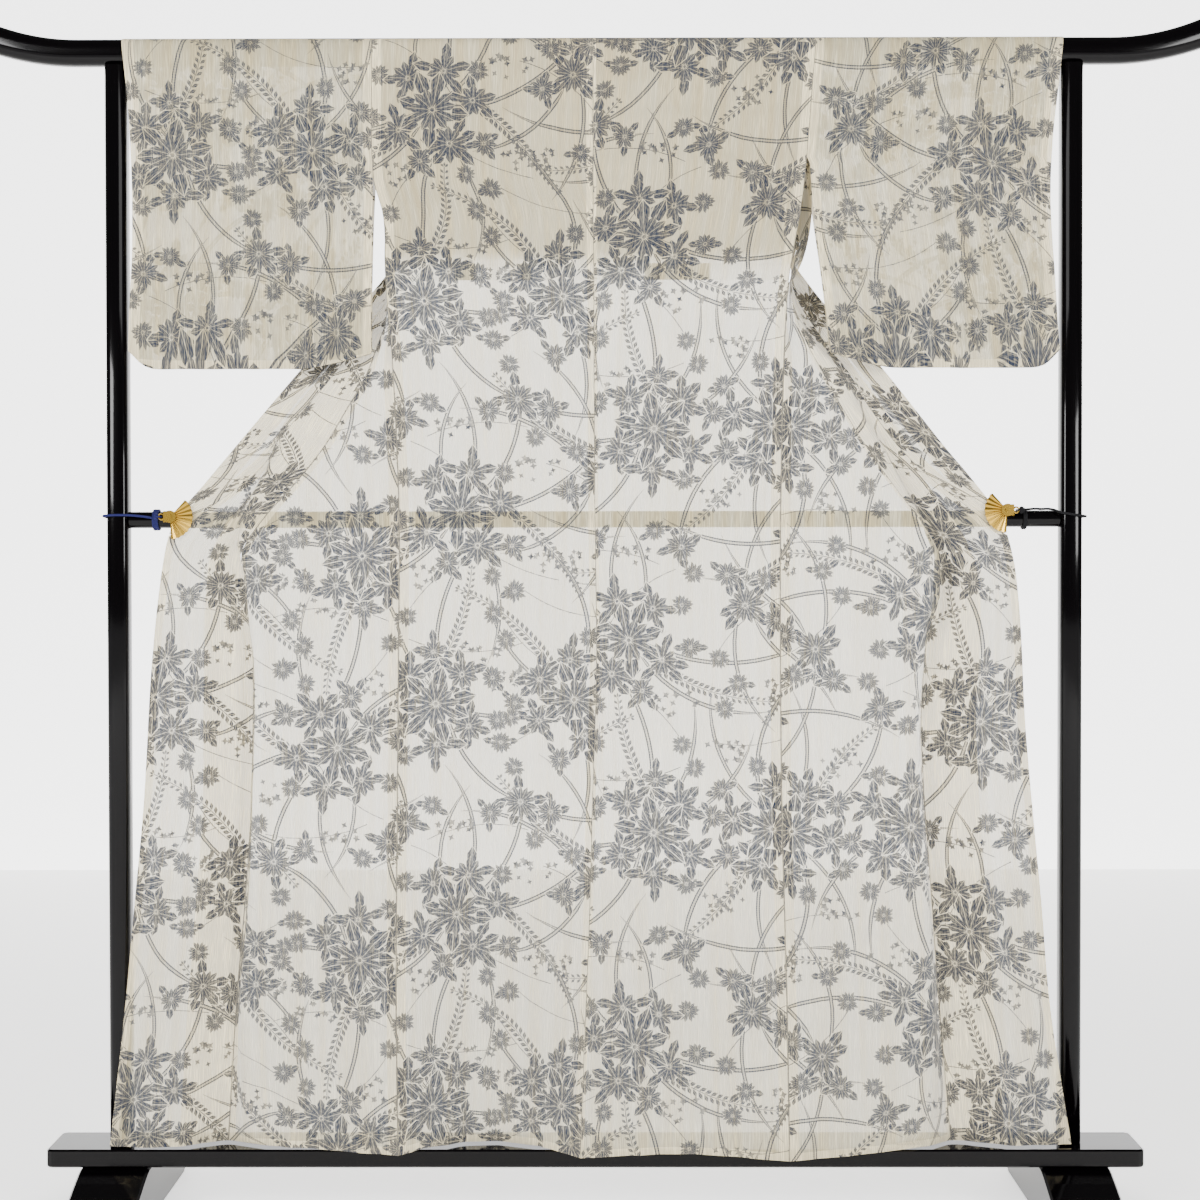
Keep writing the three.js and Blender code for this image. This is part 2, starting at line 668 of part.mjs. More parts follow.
const fanRadius = 33;
const fanHub = 9;
const fanPleats = 10;
const fanFrom = -88; // degrees, the fan opens from straight down
const fanTo = 48;
const fanBackY = -25.7;
const jawBackY = -19;
const clips = table('hand x z', [-1, 609, 1010], [1, 593, 1018]);

function fanBlade(clip) {
  const rings = [];
  for (let k = 0; k <= 2 * fanPleats; k += 1) {
    const a = THREE.MathUtils.degToRad(fanFrom + (fanTo - fanFrom) * k / (2 * fanPleats));
    const rise = k % 2 ? 3.2 : 1.4;
    const far = k % 2 ? fanRadius : fanRadius - 1.2;
    const at = (r, y) => new THREE.Vector3(clip.hand * (clip.x - r * Math.cos(a)), y,
      clip.z + r * Math.sin(a));
    rings.push([at(5, fanBackY), at(far, fanBackY), at(far, fanBackY - rise),
      at(5, fanBackY - rise)]);
  }
  return ringSolid(rings);
}

function roundPlate(x, z, radius, y0, y1, count = 20) {
  const plate = new THREE.CylinderGeometry(radius, radius, Math.abs(y1 - y0), count);
  plate.translate(x, (y0 + y1) / 2, z);
  return plate;
}

function block(x0, x1, y0, y1, z0, z1) {
  const geometry = new THREE.BoxGeometry(Math.abs(x1 - x0), Math.abs(y1 - y0), Math.abs(z1 - z0));
  geometry.translate((x0 + x1) / 2, (y0 + y1) / 2, (z0 + z1) / 2);
  return geometry;
}

// A ring about the Y axis, or lying flat
function ringAt(x, y, z, radius, tube, flat) {
  const geometry = new THREE.TorusGeometry(radius, tube, 6, 12);
  if (!flat) geometry.rotateX(Math.PI / 2);
  geometry.translate(x, y, z);
  return geometry;
}

const eyeOut = 13.4; // from the fan's pivot out to the middle of its eye
const eyeRadius = 4;
const eyeWire = 1.3;
const eyeY = -23.5;

function fanClip(clip) {
  const x = (out) => clip.hand * out;
  const hub = roundPlate(x(clip.x), clip.z, fanHub, fanBackY, fanBackY - 4.2);
  const rivet = roundPlate(x(clip.x), clip.z, 3, fanBackY - 4, fanBackY - 5.4, 12);
  const hinge = block(x(clip.x + 3), x(clip.x + 10), fanBackY - 1.5, jawBackY + 0.1,
    clip.z - 8, clip.z + 8);
  const jaw = block(x(clip.x + 4), x(clip.x - 18), jawBackY - 2, jawBackY, clip.z - 7, clip.z + 7);
  const eye = ringAt(x(clip.x + eyeOut), eyeY, clip.z, eyeRadius, eyeWire, false);
  return join(fanBlade(clip), hub, rivet, hinge, jaw, eye);
}

// Ties: turns round the crossbar, a link through the clip's eye, and a loop round the post
const cordRadius = 1.7;
const ties = table('turns turnX turnStep', [3, 634, 2.8], [2, 622, 2.8]);
const tieRuns = [
  [[634, -15, 1008], [654, -18, 1011], [674, -19.5, 1012.5], [690, -19.8, 1012.5],
    [703, -19.2, 1012], [709.4, -11, 1011.5], [710, 0, 1011], [709.4, 11, 1010], [703, 19.2, 1009],
    [690, 19.8, 1008], [674, 19.5, 1007], [654, 18, 1006], [634, 15, 1005]],
  [[616, -18.6, 1018], [623, -12.6, 1019], [630, -7, 1019.6], [638, -3, 1020.3], [647, -6, 1019.6],
    [656, -4, 1020.2], [664, -9, 1018.6], [671, -19.3, 1014.6], [682, -19.8, 1012.8],
    [693, -19.8, 1011], [703, -19.2, 1009.6], [709.4, -11, 1009], [710, 0, 1009],
    [709.4, 11, 1009], [703, 19.2, 1009], [690, 19.8, 1009], [674, 19.5, 1008],
    [648, 17.5, 1007], [622, 15, 1006]],
];

function cordRun(points) {
  const curve = new THREE.CatmullRomCurve3(points, false, 'centripetal');
  const section = new THREE.Shape();
  for (let k = 0; k < 8; k += 1) {
    const a = (Math.PI * k) / 4;
    section[k ? 'lineTo' : 'moveTo'](cordRadius * Math.cos(a), cordRadius * Math.sin(a));
  }
  return new THREE.ExtrudeGeometry(section, { steps: points.length * 2, extrudePath: curve });
}

function turnRound(x) {
  const geometry = new THREE.TorusGeometry(crossDia / 2 + seat + 0.2 + cordRadius, cordRadius, 6, 16);
  geometry.rotateY(Math.PI / 2);
  geometry.translate(x, 0, crossZ);
  return geometry;
}

function tie(clip, row, points) {
  const pieces = [cordRun(points.map(([x, y, z]) => new THREE.Vector3(clip.hand * x, y, z)))];
  for (let k = 0; k < row.turns; k += 1) {
    pieces.push(turnRound(clip.hand * (row.turnX + (k - (row.turns - 1) / 2) * row.turnStep)));
  }
  const eyeX = clip.x + eyeOut;
  pieces.push(ringAt(clip.hand * (eyeX + 3.8), eyeY, clip.z, 3.8, 1.2, true));
  const knot = new THREE.SphereGeometry(4.4, 8, 6);
  knot.scale(1, 1.15, 1.3);
  knot.translate(clip.hand * (eyeX + 8.6), -19.6, clip.z);
  pieces.push(knot);
  return join(...pieces);
}

const group = new THREE.Group();

function add(name, geometry, material) {
  const mesh = new THREE.Mesh(geometry, material);
  mesh.name = name;
  group.add(mesh);
}

const crepe = new THREE.MeshStandardMaterial({ color: 0xe8e3d6, roughness: 0.85, metalness: 0 });
const lacquer = new THREE.MeshStandardMaterial({ color: 0x0b0a0b, roughness: 0.12, metalness: 0 });
const brass = new THREE.MeshStandardMaterial({ color: 0xb98a2e, roughness: 0.3, metalness: 1 });
const cord = new THREE.MeshStandardMaterial({ color: 0x1b2338, roughness: 0.8, metalness: 0 });

add('body_left', bodyPanel(-1), crepe.clone());
add('body_right', bodyPanel(1), crepe.clone());
add('overlap_left', overlapPanel(-1), crepe.clone());
add('overlap_right', overlapPanel(1), crepe.clone());
add('collar', collar(), crepe.clone());
add('sleeve_left', sleeve(sleeveLeft, -1), crepe.clone());
add('sleeve_right', sleeve(sleeveRight, 1), crepe.clone());
add('tuck_left', tuck(-1), crepe.clone());
add('tuck_right', tuck(1), crepe.clone());
add('top_bar', topBar(), lacquer.clone());
add('post_left', post(-1), lacquer.clone());
add('post_right', post(1), lacquer.clone());
add('cross_bar', crossBar(), lacquer.clone());
add('base_beam', beam(), lacquer.clone());
add('foot_left', foot(-1), lacquer.clone());
add('foot_right', foot(1), lacquer.clone());
add('clip_left', fanClip(clips[0]), brass.clone());
add('clip_right', fanClip(clips[1]), brass.clone());
add('tie_left', tie(clips[0], ties[0], tieRuns[0]), cord.clone());
add('tie_right', tie(clips[1], ties[1], tieRuns[1]), cord.clone());

export default group;
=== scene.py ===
import math
import random

import bpy
import numpy as np
from mathutils import Matrix, Vector
from mathutils.geometry import delaunay_2d_cdt


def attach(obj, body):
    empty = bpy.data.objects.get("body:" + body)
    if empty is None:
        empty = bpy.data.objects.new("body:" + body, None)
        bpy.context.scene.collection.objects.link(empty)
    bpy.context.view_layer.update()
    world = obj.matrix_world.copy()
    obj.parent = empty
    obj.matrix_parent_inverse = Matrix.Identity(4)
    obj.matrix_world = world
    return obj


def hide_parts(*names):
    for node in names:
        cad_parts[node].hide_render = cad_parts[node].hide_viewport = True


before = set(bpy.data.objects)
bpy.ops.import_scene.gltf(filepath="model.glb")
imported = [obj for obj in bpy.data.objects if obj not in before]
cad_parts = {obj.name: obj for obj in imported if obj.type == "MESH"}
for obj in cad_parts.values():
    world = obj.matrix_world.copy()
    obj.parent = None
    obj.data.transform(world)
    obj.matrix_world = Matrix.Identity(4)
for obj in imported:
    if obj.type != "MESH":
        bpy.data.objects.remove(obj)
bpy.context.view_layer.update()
mm = 0.001

# Shapes below are worked out in millimetres: X along the bar, -Y towards the viewer, Z up.
# Cloth is also measured flat: x across the loom width, t along the length.


def table(names, *rows):
    # Rows of numbers to a dictionary of columns
    return {key: np.array([row[i] for row in rows], float) for i, key in enumerate(names.split())}


def smooth(rows, key, z):
    # The column's value at height z, on a smooth curve through the rows
    zs, values = rows["z"], rows[key]
    last = len(zs) - 1
    if z >= zs[0]:
        return values[0]
    if z <= zs[last]:
        return values[last]
    i = int(np.argmax(zs[1:] <= z))
    before, after = max(i - 1, 0), min(i + 2, last)
    span = zs[i + 1] - zs[i]
    m0 = (values[i + 1] - values[before]) / (zs[i + 1] - zs[before]) * span
    m1 = (values[after] - values[i]) / (zs[after] - zs[i]) * span
    t = (z - zs[i]) / span
    return ((2 * t ** 3 - 3 * t ** 2 + 1) * values[i] + (t ** 3 - 2 * t ** 2 + t) * m0
            + (3 * t ** 2 - 2 * t ** 3) * values[i + 1] + (t ** 3 - t ** 2) * m1)


def ease(value, low, high):
    share = np.clip((value - low) / (high - low), 0, 1)
    return share * share * (3 - 2 * share)


def splined(points, perSpan=24):
    # A centripetal curve through the points
    points = np.asarray(points, float)
    knots = np.vstack([2 * points[0] - points[1], points, 2 * points[-1] - points[-2]])
    share = np.linspace(0, 1, perSpan, endpoint=False)[:, None]
    runs = []
    for i in range(1, len(knots) - 2):
        p0, p1, p2, p3 = knots[i - 1:i + 3]
        d0, d1, d2 = (max(np.linalg.norm(b - a), 1e-6) ** 0.5
                      for a, b in ((p0, p1), (p1, p2), (p2, p3)))
        m1 = ((p1 - p0) / d0 - (p2 - p0) / (d0 + d1) + (p2 - p1) / d1) * d1
        m2 = ((p2 - p1) / d1 - (p3 - p1) / (d1 + d2) + (p3 - p2) / d2) * d1
        c2 = 3 * (p2 - p1) - 2 * m1 - m2
        c3 = 2 * (p1 - p2) + m1 + m2
        runs.append(p1 + m1 * share + c2 * share ** 2 + c3 * share ** 3)
    return np.vstack(runs + [points[-1:]])


def alongCurve(points, shares):
    # Spots at even shares of the curve's length, and that length
    dense = splined(points)
    run = np.concatenate([[0], np.cumsum(np.linalg.norm(np.diff(dense, axis=0), axis=1))])
    spots = np.stack([np.interp(np.asarray(shares) * run[-1], run, dense[:, k])
                      for k in range(3)], axis=1)
    return spots, run[-1]


# Stand sizes
stand = {
    "barHalf": 930, "barDeep": 34, "barHigh": 38, "barMidZ": 1680, "barRound": 2.6,
    "riseFrom": 745, "rise": 48,
    "postX": 689, "postWide": 32, "postDeep": 34, "crossZ": 1006, "crossDia": 24,
    "beamTop": 101,
}

# How the garment hangs
hang = {
    "lift": 0.9, "kensakiZ": 1470, "overlapTop": 1456, "sideSeamTop": 1345, "collarEndZ": 985,
    "neckHalf": 105, "neckAngle": 62, "armholeZ": 1525, "shoulder": 319,
    "hemZ": 104, "dropFromZ": 165, "dropFromY": 48, "drop": 0.28,
    "sleeveBottom": 1222, "sleeveCentreY": -14, "sleeveGap": 5, "sleeveLow": 1236,
    "sleeveHigh": 1655, "cornerRow": 1230, "bodyHigh": 1648, "collarHigh": 1635,
    "tuckLow": 1349, "tuckHigh": 1373, "tuckBehind": 2.6, "upperLow": 1362, "upperHigh": 1392,
}

back = table(
    "z centre centreY leftMid leftMidY left leftY rightMid rightMidY right rightY",
    [1680, 0, -18, 160, -18, 319, -18, 160, -18, 319, -18],
    [1500, 0, -19, 159, -20, 317, -19, 152, -20, 304, -19],
    [1440, 0, -20, 151, -22, 302, -20, 148, -22, 296, -20],
    [1345, 1, -21, 150, -23, 299, -20, 140, -23, 280, -20],
    [1225, 1, -22, 145, -23, 289, -22, 137, -25, 273, -22],
    [1012, 2, -25, 139, -20, 280, -25, 135, -23, 268, -27],
    [800, 4, -32, 139, -19, 281, -32, 136, -27, 267, -36],
    [600, -2, -42, 142, -18, 282, -41, 134, -36, 268, -46],
    [450, -6, -50, 146, -16, 283, -48, 134, -45, 271, -55],
    [300, -12, -60, 150, -14, 283, -55, 134, -53, 274, -65],
    [104, -20, -72, 154, -11, 280, -66, 130, -62, 276, -80])

frontNames = "z side sideY mid midY ridge ridgeY dip dipY wing wingY edge edgeY held collar"
fronts = {
    -1: table(
        frontNames,
        [1680, 319, 18, 280, 18, 236, 18, 185, 18, 125, 19, 66, 20, 66, 66],
        [1600, 318, 20, 278, 31, 238, 39, 200, 42, 162, 38, 129, 30, 66, 66],
        [1500, 316, 20, 302, 52, 278, 76, 252, 84, 228, 76, 209, 56, 64, 64],
        [1440, 304, 10, 301, 42, 293, 70, 280, 86, 266, 86, 257, 72, 60, 54],
        [1380, 302, -6, 298, 22, 295, 48, 293, 66, 296, 80, 304, 86, 56, 42],
        [1330, 298, -20, 298, 6, 300, 34, 307, 56, 323, 72, 344, 78, 70, 46],
        [1275, 293, -21, 300, -2, 318, 17, 342, 31, 366, 38, 388, 38, 88, 52],
        [1220, 289, -22, 322, -6, 382, 6, 400, 15, 416, 17, 431, 15, 108, 60],
        [1165, 286, -22, 345, -14, 428, -8, 442, 6, 458, 6, 475, 2, 126, 64],
        [1110, 284, -23, 358, -18, 456, -17, 469, 1, 492, -4, 519, -9, 142, 66],
        [1060, 282, -24, 368, -21, 476, -31, 487, -8, 520, -13, 559, -18, 150, 56],
        [1006, 280, -25, 380, -25, 503, -44, 513, -18, 556, -20, 602, -24, 150, 28],
        [950, 280, -26, 380, -26, 500, -47, 510, -17, 560, -23, 619, -24.5, 138, 0],
        [800, 281, -32, 380, -28, 483, -47, 494, -16, 565, -31, 636, -28, 148, 0],
        [600, 282, -41, 385, -32, 486, -46, 498, -14, 575, -37, 648, -31, 158, 0],
        [450, 283, -48, 388, -36, 494, -44, 506, -12, 585, -40, 662, -33, 162, 0],
        [300, 283, -55, 390, -40, 506, -37, 521, -10, 600, -42, 676, -35, 164, 0],
        [104, 280, -66, 392, -50, 500, -26, 530, -8, 612, -42, 698, -38, 173, 0]),
    1: table(
        frontNames,
        [1680, 319, 18, 280, 18, 236, 18, 185, 18, 125, 19, 66, 20, 66, 66],
        [1600, 318, 20, 276, 34, 236, 42, 198, 44, 158, 39, 124, 30, 66, 66],
        [1500, 317, 20, 300, 54, 276, 78, 248, 86, 224, 77, 206, 56, 64, 64],
        [1440, 316, 12, 306, 44, 293, 72, 279, 86, 264, 86, 254, 72, 60, 54],
        [1380, 302, -4, 296, 24, 291, 49, 290, 66, 294, 80, 303, 86, 56, 42],
        [1330, 278, -20, 282, 6, 288, 32, 299, 56, 318, 72, 340, 78, 72, 46],
        [1275, 275, -21, 286, -2, 306, 10, 330, 34, 356, 40, 382, 38, 92, 52],
        [1220, 273, -22, 310, -10, 352, -5, 382, 24, 402, 22, 424, 15, 110, 60],
        [1165, 272, -22, 322, -15, 379, -11, 400, 18, 432, 11, 465, 2, 126, 64],
        [1110, 270, -23, 335, -19, 411, -17, 425, 13, 466, 3, 506, -9, 140, 66],
        [1060, 269, -25, 345, -24, 438, -29, 447, 0, 496, -9, 546, -18, 148, 56],
        [1006, 268, -27, 360, -31, 467, -46, 472, -18, 526, -20, 584, -24, 148, 28],
        [950, 268, -29, 366, -34, 488, -55, 491, -19, 542, -22, 602, -24.5, 136, 0],
        [895, 268, -31, 366, -36, 492, -56, 492, -18, 546, -24, 609, -27, 134, 0],
        [840, 267, -34, 364, -38, 472, -49, 480, -16, 546, -27, 613, -28, 138, 0],
        [700, 267, -40, 364, -41, 462, -47, 473, -15, 548, -31, 620, -28, 152, 0],
        [450, 271, -55, 372, -48, 477, -46, 488, -13, 564, -35, 643, -29, 160, 0],
        [300, 274, -65, 378, -54, 487, -42, 499, -11, 576, -35, 656, -29, 162, 0],
        [104, 276, -80, 385, -62, 482, -37, 517, -8, 600, -33, 687, -27, 176, 0]),
}

sleeveEdges = {
    -1: table("z inner outer", [1699, 319, 679], [1600, 318, 669], [1500, 317, 664],
              [1390, 319, 664], [1320, 320, 668], [1222, 320, 671]),
    1: table("z inner outer", [1699, 319, 675], [1633, 316, 668], [1550, 310, 659],
             [1460, 315, 656], [1334, 331, 664], [1222, 342, 671]),
}


# Section curves of the hanging cloth

def backPoints(z, hand):
    side = "left" if hand < 0 else "right"
    centre = [smooth(back, "centre", z), smooth(back, "centreY", z), z]
    middle = [hand * smooth(back, side + "Mid", z), smooth(back, side + "MidY", z), z]
    edge = [hand * smooth(back, side, z), smooth(back, side + "Y", z), z]
    return [centre, middle, edge]


def frontPoints(z, hand):
    rows = fronts[hand]
    knots = [[hand * smooth(rows, name, z), smooth(rows, name + "Y", z), z]
             for name in ("side", "mid", "ridge", "dip", "wing", "edge")]
    if z <= hang["sideSeamTop"]:
        knots[0] = backPoints(z, hand)[2]
    return knots


def frontShares(z, hand):
    # Shares of the front's section where overlap and collar begin, and its whole length
    rows = fronts[hand]
    whole = alongCurve(frontPoints(z, hand), [0, 1])[1]
    collar = 0 if z < hang["collarEndZ"] else max(smooth(rows, "collar", z), 10)
    held = collar if z >= hang["kensakiZ"] else max(smooth(rows, "held", z), collar + 3)
    return 1 - held / whole, 1 - collar / whole, whole


def dropHem(spots, z):
    # The hem hangs lower where it stands out towards the viewer
    near = np.clip((hang["dropFromZ"] - z) / (hang["dropFromZ"] - hang["hemZ"]), 0, 1)
    spots[:, 2] -= near * hang["drop"] * np.maximum(0, -spots[:, 1] - hang["dropFromY"])
    return spots


def barSpot(angle, lift):
    # A point of the bar's round section, moved out by lift: 0 is the far side, 90 the top
    a = math.radians(angle)
    cos, sin = math.cos(a), math.sin(a)
    power = stand["barRound"]
    y = stand["barDeep"] / 2 * math.copysign(abs(cos) ** (2 / power), cos)
    z = stand["barHigh"] / 2 * math.copysign(abs(sin) ** (2 / power), sin)
    out = np.array([math.copysign(abs(cos) ** (2 - 2 / power), cos) / stand["barDeep"],
                    math.copysign(abs(sin) ** (2 - 2 / power), sin) / stand["barHigh"]])
    out /= np.linalg.norm(out)
    return y + out[0] * lift, stand["barMidZ"] + z + out[1] * lift


def neckEdge(angle):
    # Half the neck opening's width where the cloth has turned this far round the bar
    return hang["neckHalf"] + (hang["neckAngle"] - angle) * 0.36


def heightsBetween(low, high, step, keep=()):
    count = max(2, round((high - low) / step) + 1)
    return sorted({*np.linspace(low, high, count).round(2), *keep})


def gridNormals(spots):
    normal = np.cross(np.gradient(spots, axis=1), np.gradient(spots, axis=0))
    return normal / np.maximum(np.linalg.norm(normal, axis=2, keepdims=True), 1e-9)


# Soft upright folds: depth in mm, spread across and along, lean, phase
rippleRows = {
    "body": [(1.5, 0.115, 0.0011, 0.3), (0.9, 0.071, -0.0032, 1.9), (0.5, 0.21, 0.004, 0.7)],
    "overlap": [(1.3, 0.125, 0.0034, 1.1), (0.8, 0.082, -0.0026, 0.2)],
    "sleeve": [(0.8, 0.095, 0.0021, 0.9), (0.5, 0.19, -0.005, 2.2)],
    "collar": [(0.6, 0.06, 0.011, 0.4)], "tuck": [(0.3, 0.1, 0.0, 0.0)],
}
# Creases that fan out from each clip: angle from straight down, width in mm, depth
creaseRows = {
    -1: [(18, 7, 2.2), (33, 9, -2.6), (47, 8, 2.4), (62, 10, -2.2), (80, 9, 1.6)],
    1: [(14, 7, -2.0), (27, 8, 2.6), (41, 9, -2.4), (57, 9, 2.2), (74, 10, -1.5)],
}
clipSpots = {-1: (-600, 1010), 1: (585, 1018)}


def softFolds(kind, spots, flatX, t):
    depth = np.zeros(spots.shape[:2])
    for size, across, along, phase in rippleRows[kind]:
        depth += size * np.sin(flatX * across + t[:, None] * along + phase
                               + 1.6 * np.sin(t[:, None] * 0.0047 + phase))
    share = np.linspace(0, 1, spots.shape[1])
    fade = np.clip(share * 8, 0, 1) * np.clip((1 - share) * 8, 0, 1)
    return depth * fade * ease(1655 - spots[:, :, 2], 0, 90)


def clipCreases(spots):
    depth = np.zeros(spots.shape[:2])
    for hand, rows in creaseRows.items():
        x, z = clipSpots[hand]
        away = np.hypot(spots[:, :, 0] - x, spots[:, :, 2] - z)
        angle = np.degrees(np.arctan2(-hand * (spots[:, :, 0] - x), z - spots[:, :, 2]))
        reach = ease(away, 14, 60) * (1 - ease(away, 150, 330))
        for turn, width, size in rows:
            off = np.radians(angle - turn) * away
            depth += size * reach * np.exp(-(off / (width + away * 0.03)) ** 2)
    return depth


def panel(name, kind, rows, side=1, creased=False):
    # rows: (positions across, flat x of the left edge, flat x of the right edge)
    spots = np.array([row[0] for row in rows])
    edge = spots[:, -1] if side else spots[:, 0]
    t = np.concatenate([[0], np.cumsum(np.linalg.norm(np.diff(edge, axis=0), axis=1))])
    left, right = (np.array([row[k] for row in rows], float) for k in (1, 2))
    flatX = left[:, None] + (right - left)[:, None] * np.linspace(0, 1, spots.shape[1])
    depth = softFolds(kind, spots, flatX, t)
    if creased:
        depth += clipCreases(spots)
    spots = spots + gridNormals(spots) * depth[:, :, None]
    return {"name": name, "spots": spots, "normal": gridNormals(spots), "t": t, "left": left,
            "right": right}


columns = np.linspace(0, 1, 31)


def bodyPanel(name, hand):
    # One strip of cloth from the back hem over the bar to the front hem. x is 0 at the side.
    rows = []
    levels = heightsBetween(hang["hemZ"], hang["bodyHigh"], 14, (hang["sideSeamTop"], hang["kensakiZ"]))
    for z in levels:
        spots, width = alongCurve(backPoints(z, hand), columns)
        rows.append((dropHem(spots, z), -width, 0))
    angles = [180, 165, 150, 135, 120, 105, 90, 78, hang["neckAngle"] + 3, hang["neckAngle"],
              48, 34, 20, 8]
    for angle in angles:
        y, z = barSpot(angle, hang["lift"])
        inner = neckEdge(angle) if angle <= hang["neckAngle"] else 0
        x = hand * (inner + (hang["shoulder"] - inner) * columns)
        spots = np.stack([x, np.full_like(x, y), np.full_like(x, z)], axis=1)
        rows.append((spots, inner - hang["shoulder"], 0))
    for z in reversed(levels):
        end, _, whole = frontShares(z, hand)
        spots, _ = alongCurve(frontPoints(z, hand), end * (1 - columns))
        rows.append((dropHem(spots, z), -end * whole, 0))
    return panel(name, "body", rows, creased=True)


def overlapPanel(name, hand):
    rows = []
    for z in heightsBetween(hang["hemZ"], hang["overlapTop"], 14):
        start, end, whole = frontShares(z, hand)
        spots, _ = alongCurve(frontPoints(z, hand), start + (end - start) * columns)
        rows.append((dropHem(spots, z), 0, (end - start) * whole))
    return panel(name, "overlap", rows, side=0, creased=True)


collarNeck = table("angle seam edge edgeZ edgeY", [0, 127, 91, 1640, 25],
                   [22.5, 119, 86, 1643, 24], [45, 111, 79, 1645, 23], [58, 102, 70, 1645, 22],
                   [58, 54, 40, 1644, 21], [58, 0, 0, 1643, 21])


def collarPanel(name):
    # x is 0 at the neck seam and about 55 at the free edge, t runs from end to end
    sides = {}
    for hand in (-1, 1):
        rows = []
        for z in heightsBetween(hang["collarEndZ"], hang["collarHigh"], 12):
            _, start, whole = frontShares(z, hand)
            spots, _ = alongCurve(frontPoints(z, hand), start + (1 - start) * columns)
            rows.append((spots, 0, (1 - start) * whole))
        sides[hand] = rows
    neck = {-1: [], 1: []}
    for hand in (-1, 1):
        for k in range(len(collarNeck["angle"])):
            knots = []
            for turn, drop in ((1, 0), (0.6, 0), (0.25, 0), (0, 0), (0, 0.5), (0, 1)):
                y, z = barSpot(collarNeck["angle"][k] * turn, 2.0)
                y += (collarNeck["edgeY"][k] - y) * drop
                z += (collarNeck["edgeZ"][k] - z) * drop
                share = len(knots) / 5
                x = collarNeck["seam"][k] * (1 - share) + collarNeck["edge"][k] * share
                knots.append([hand * x, y, z])
            neck[hand].append((alongCurve(knots, columns)[0], 0, 58))
    return panel(name, "collar", sides[-1] + neck[-1] + neck[1][::-1][1:] + sides[1][::-1])


def sleeveSpots(hand, z, side):
    span = stand["barMidZ"] - hang["sleeveBottom"]
    t = min(1, max(0, (stand["barMidZ"] - z) / span))
    lean = t * t * (3 - 2 * t)
    half = stand["barDeep"] / 2 + hang["lift"]
    half += (hang["sleeveGap"] - half) * lean
    sewn = backPoints(z, hand)[2] if side < 0 else frontPoints(z, hand)[0]
    edges = sleeveEdges[hand]
    inner = abs(sewn[0]) if z >= hang["armholeZ"] else smooth(edges, "inner", z)
    y = hang["sleeveCentreY"] * lean + side * half + 1.6 * t * np.sin(columns * 17 + 3 * t)
    y += (sewn[1] - y) * (1 - columns) ** 2 * ease(z, 1400, hang["armholeZ"])
    x = hand * (inner + (smooth(edges, "outer", z) - inner) * columns)
    return np.stack([x, y, np.full_like(x, z)], axis=1)


def sleevePanel(name, hand):
    # From the bottom of the shown layer over the bar to the bottom of the hidden layer
    bottoms = (hang["sleeveBottom"] + 22 * np.maximum(0, 1 - columns * 3.4) ** 1.4
               + 26 * np.maximum(0, columns * 9 - 8) ** 2)
    edges = sleeveEdges[hand]
    levels = heightsBetween(hang["sleeveLow"], hang["sleeveHigh"], 14, (hang["armholeZ"],))

    def layer(side):
        rows = []
        for z in levels:
            spots = sleeveSpots(hand, z, side)
            low = spots.copy()
            raised = np.maximum(z, bottoms + 4 + (z - hang["sleeveLow"]) * 0.6)
            low[:, 2] = np.where(raised > z, raised, z)
            rows.append((low, 0, abs(spots[-1, 0] - spots[0, 0])))
        return rows

    def corner(side):
        spots = sleeveSpots(hand, hang["cornerRow"], side)
        spots[:, 1] -= side * 3
        spots[:, 2] = bottoms + 0.8
        return (spots, 0, abs(spots[-1, 0] - spots[0, 0]))

    over = []
    for angle in (180, 165, 150, 135, 120, 105, 90, 75, 60, 45, 30, 15, 0):
        y, z = barSpot(angle, hang["lift"])
        width = smooth(edges, "outer", z) - hang["shoulder"]
        x = hand * (hang["shoulder"] + width * columns)
        spots = np.stack([x, np.full_like(x, y), np.full_like(x, z)], axis=1)
        over.append((spots, 0, width))
    shown, hidden = layer(-1), layer(1)
    return panel(name, "sleeve", [corner(-1)] + shown + over + hidden[::-1] + [corner(1)])


def tuckPanel(name, hand):
    rows = []
    for z in range(hang["tuckLow"], hang["tuckHigh"] + 1, 8):
        spots, width = alongCurve(backPoints(z, hand), 0.004 + 0.97 * columns)
        spots[:, 1] += hang["tuckBehind"]
        rows.append((spots, -0.97 * width, 0))
    return panel(name, "tuck", rows)


def onCloth(sheet, x, t):
    # Flat millimetres to the point in the hanging cloth and its normal
    rows = np.interp(t, sheet["t"], np.arange(len(sheet["t"])))
    left = np.interp(t, sheet["t"], sheet["left"])
    right = np.interp(t, sheet["t"], sheet["right"])
    share = np.clip((x - left) / np.maximum(right - left, 1e-6), 0, 1)
    cols = share * (sheet["spots"].shape[1] - 1)
    i = np.clip(rows.astype(int), 0, len(sheet["t"]) - 2)
    j = np.clip(cols.astype(int), 0, sheet["spots"].shape[1] - 2)
    u, v = (rows - i)[:, None], (cols - j)[:, None]
    mixed = []
    for grid in (sheet["spots"], sheet["normal"]):
        mixed.append((grid[i, j] * (1 - v) + grid[i, j + 1] * v) * (1 - u)
                     + (grid[i + 1, j] * (1 - v) + grid[i + 1, j + 1] * v) * u)
    normal = mixed[1] / np.maximum(np.linalg.norm(mixed[1], axis=1, keepdims=True), 1e-9)
    return mixed[0], normal


# The print: one repeat of the bolt, drawn as outlines in flat millimetres

repeat = {"wide": 370, "long": 580, "seed": 7}
ground, petalInk, bladeInk, dotInk = range(4)

petalOutline = np.array([[0, 0], [0.3, 0.66], [0.68, 1.0], [1, 0], [0.68, -1.0], [0.3, -0.66]])
leafOutline = np.array([[0, 0], [0.26, 0.8], [0.6, 0.94], [1, 0], [0.6, -0.94], [0.26, -0.8]])
grainOutline = np.array([[0, 0], [0.55, 1], [1, 0], [0.55, -1]])


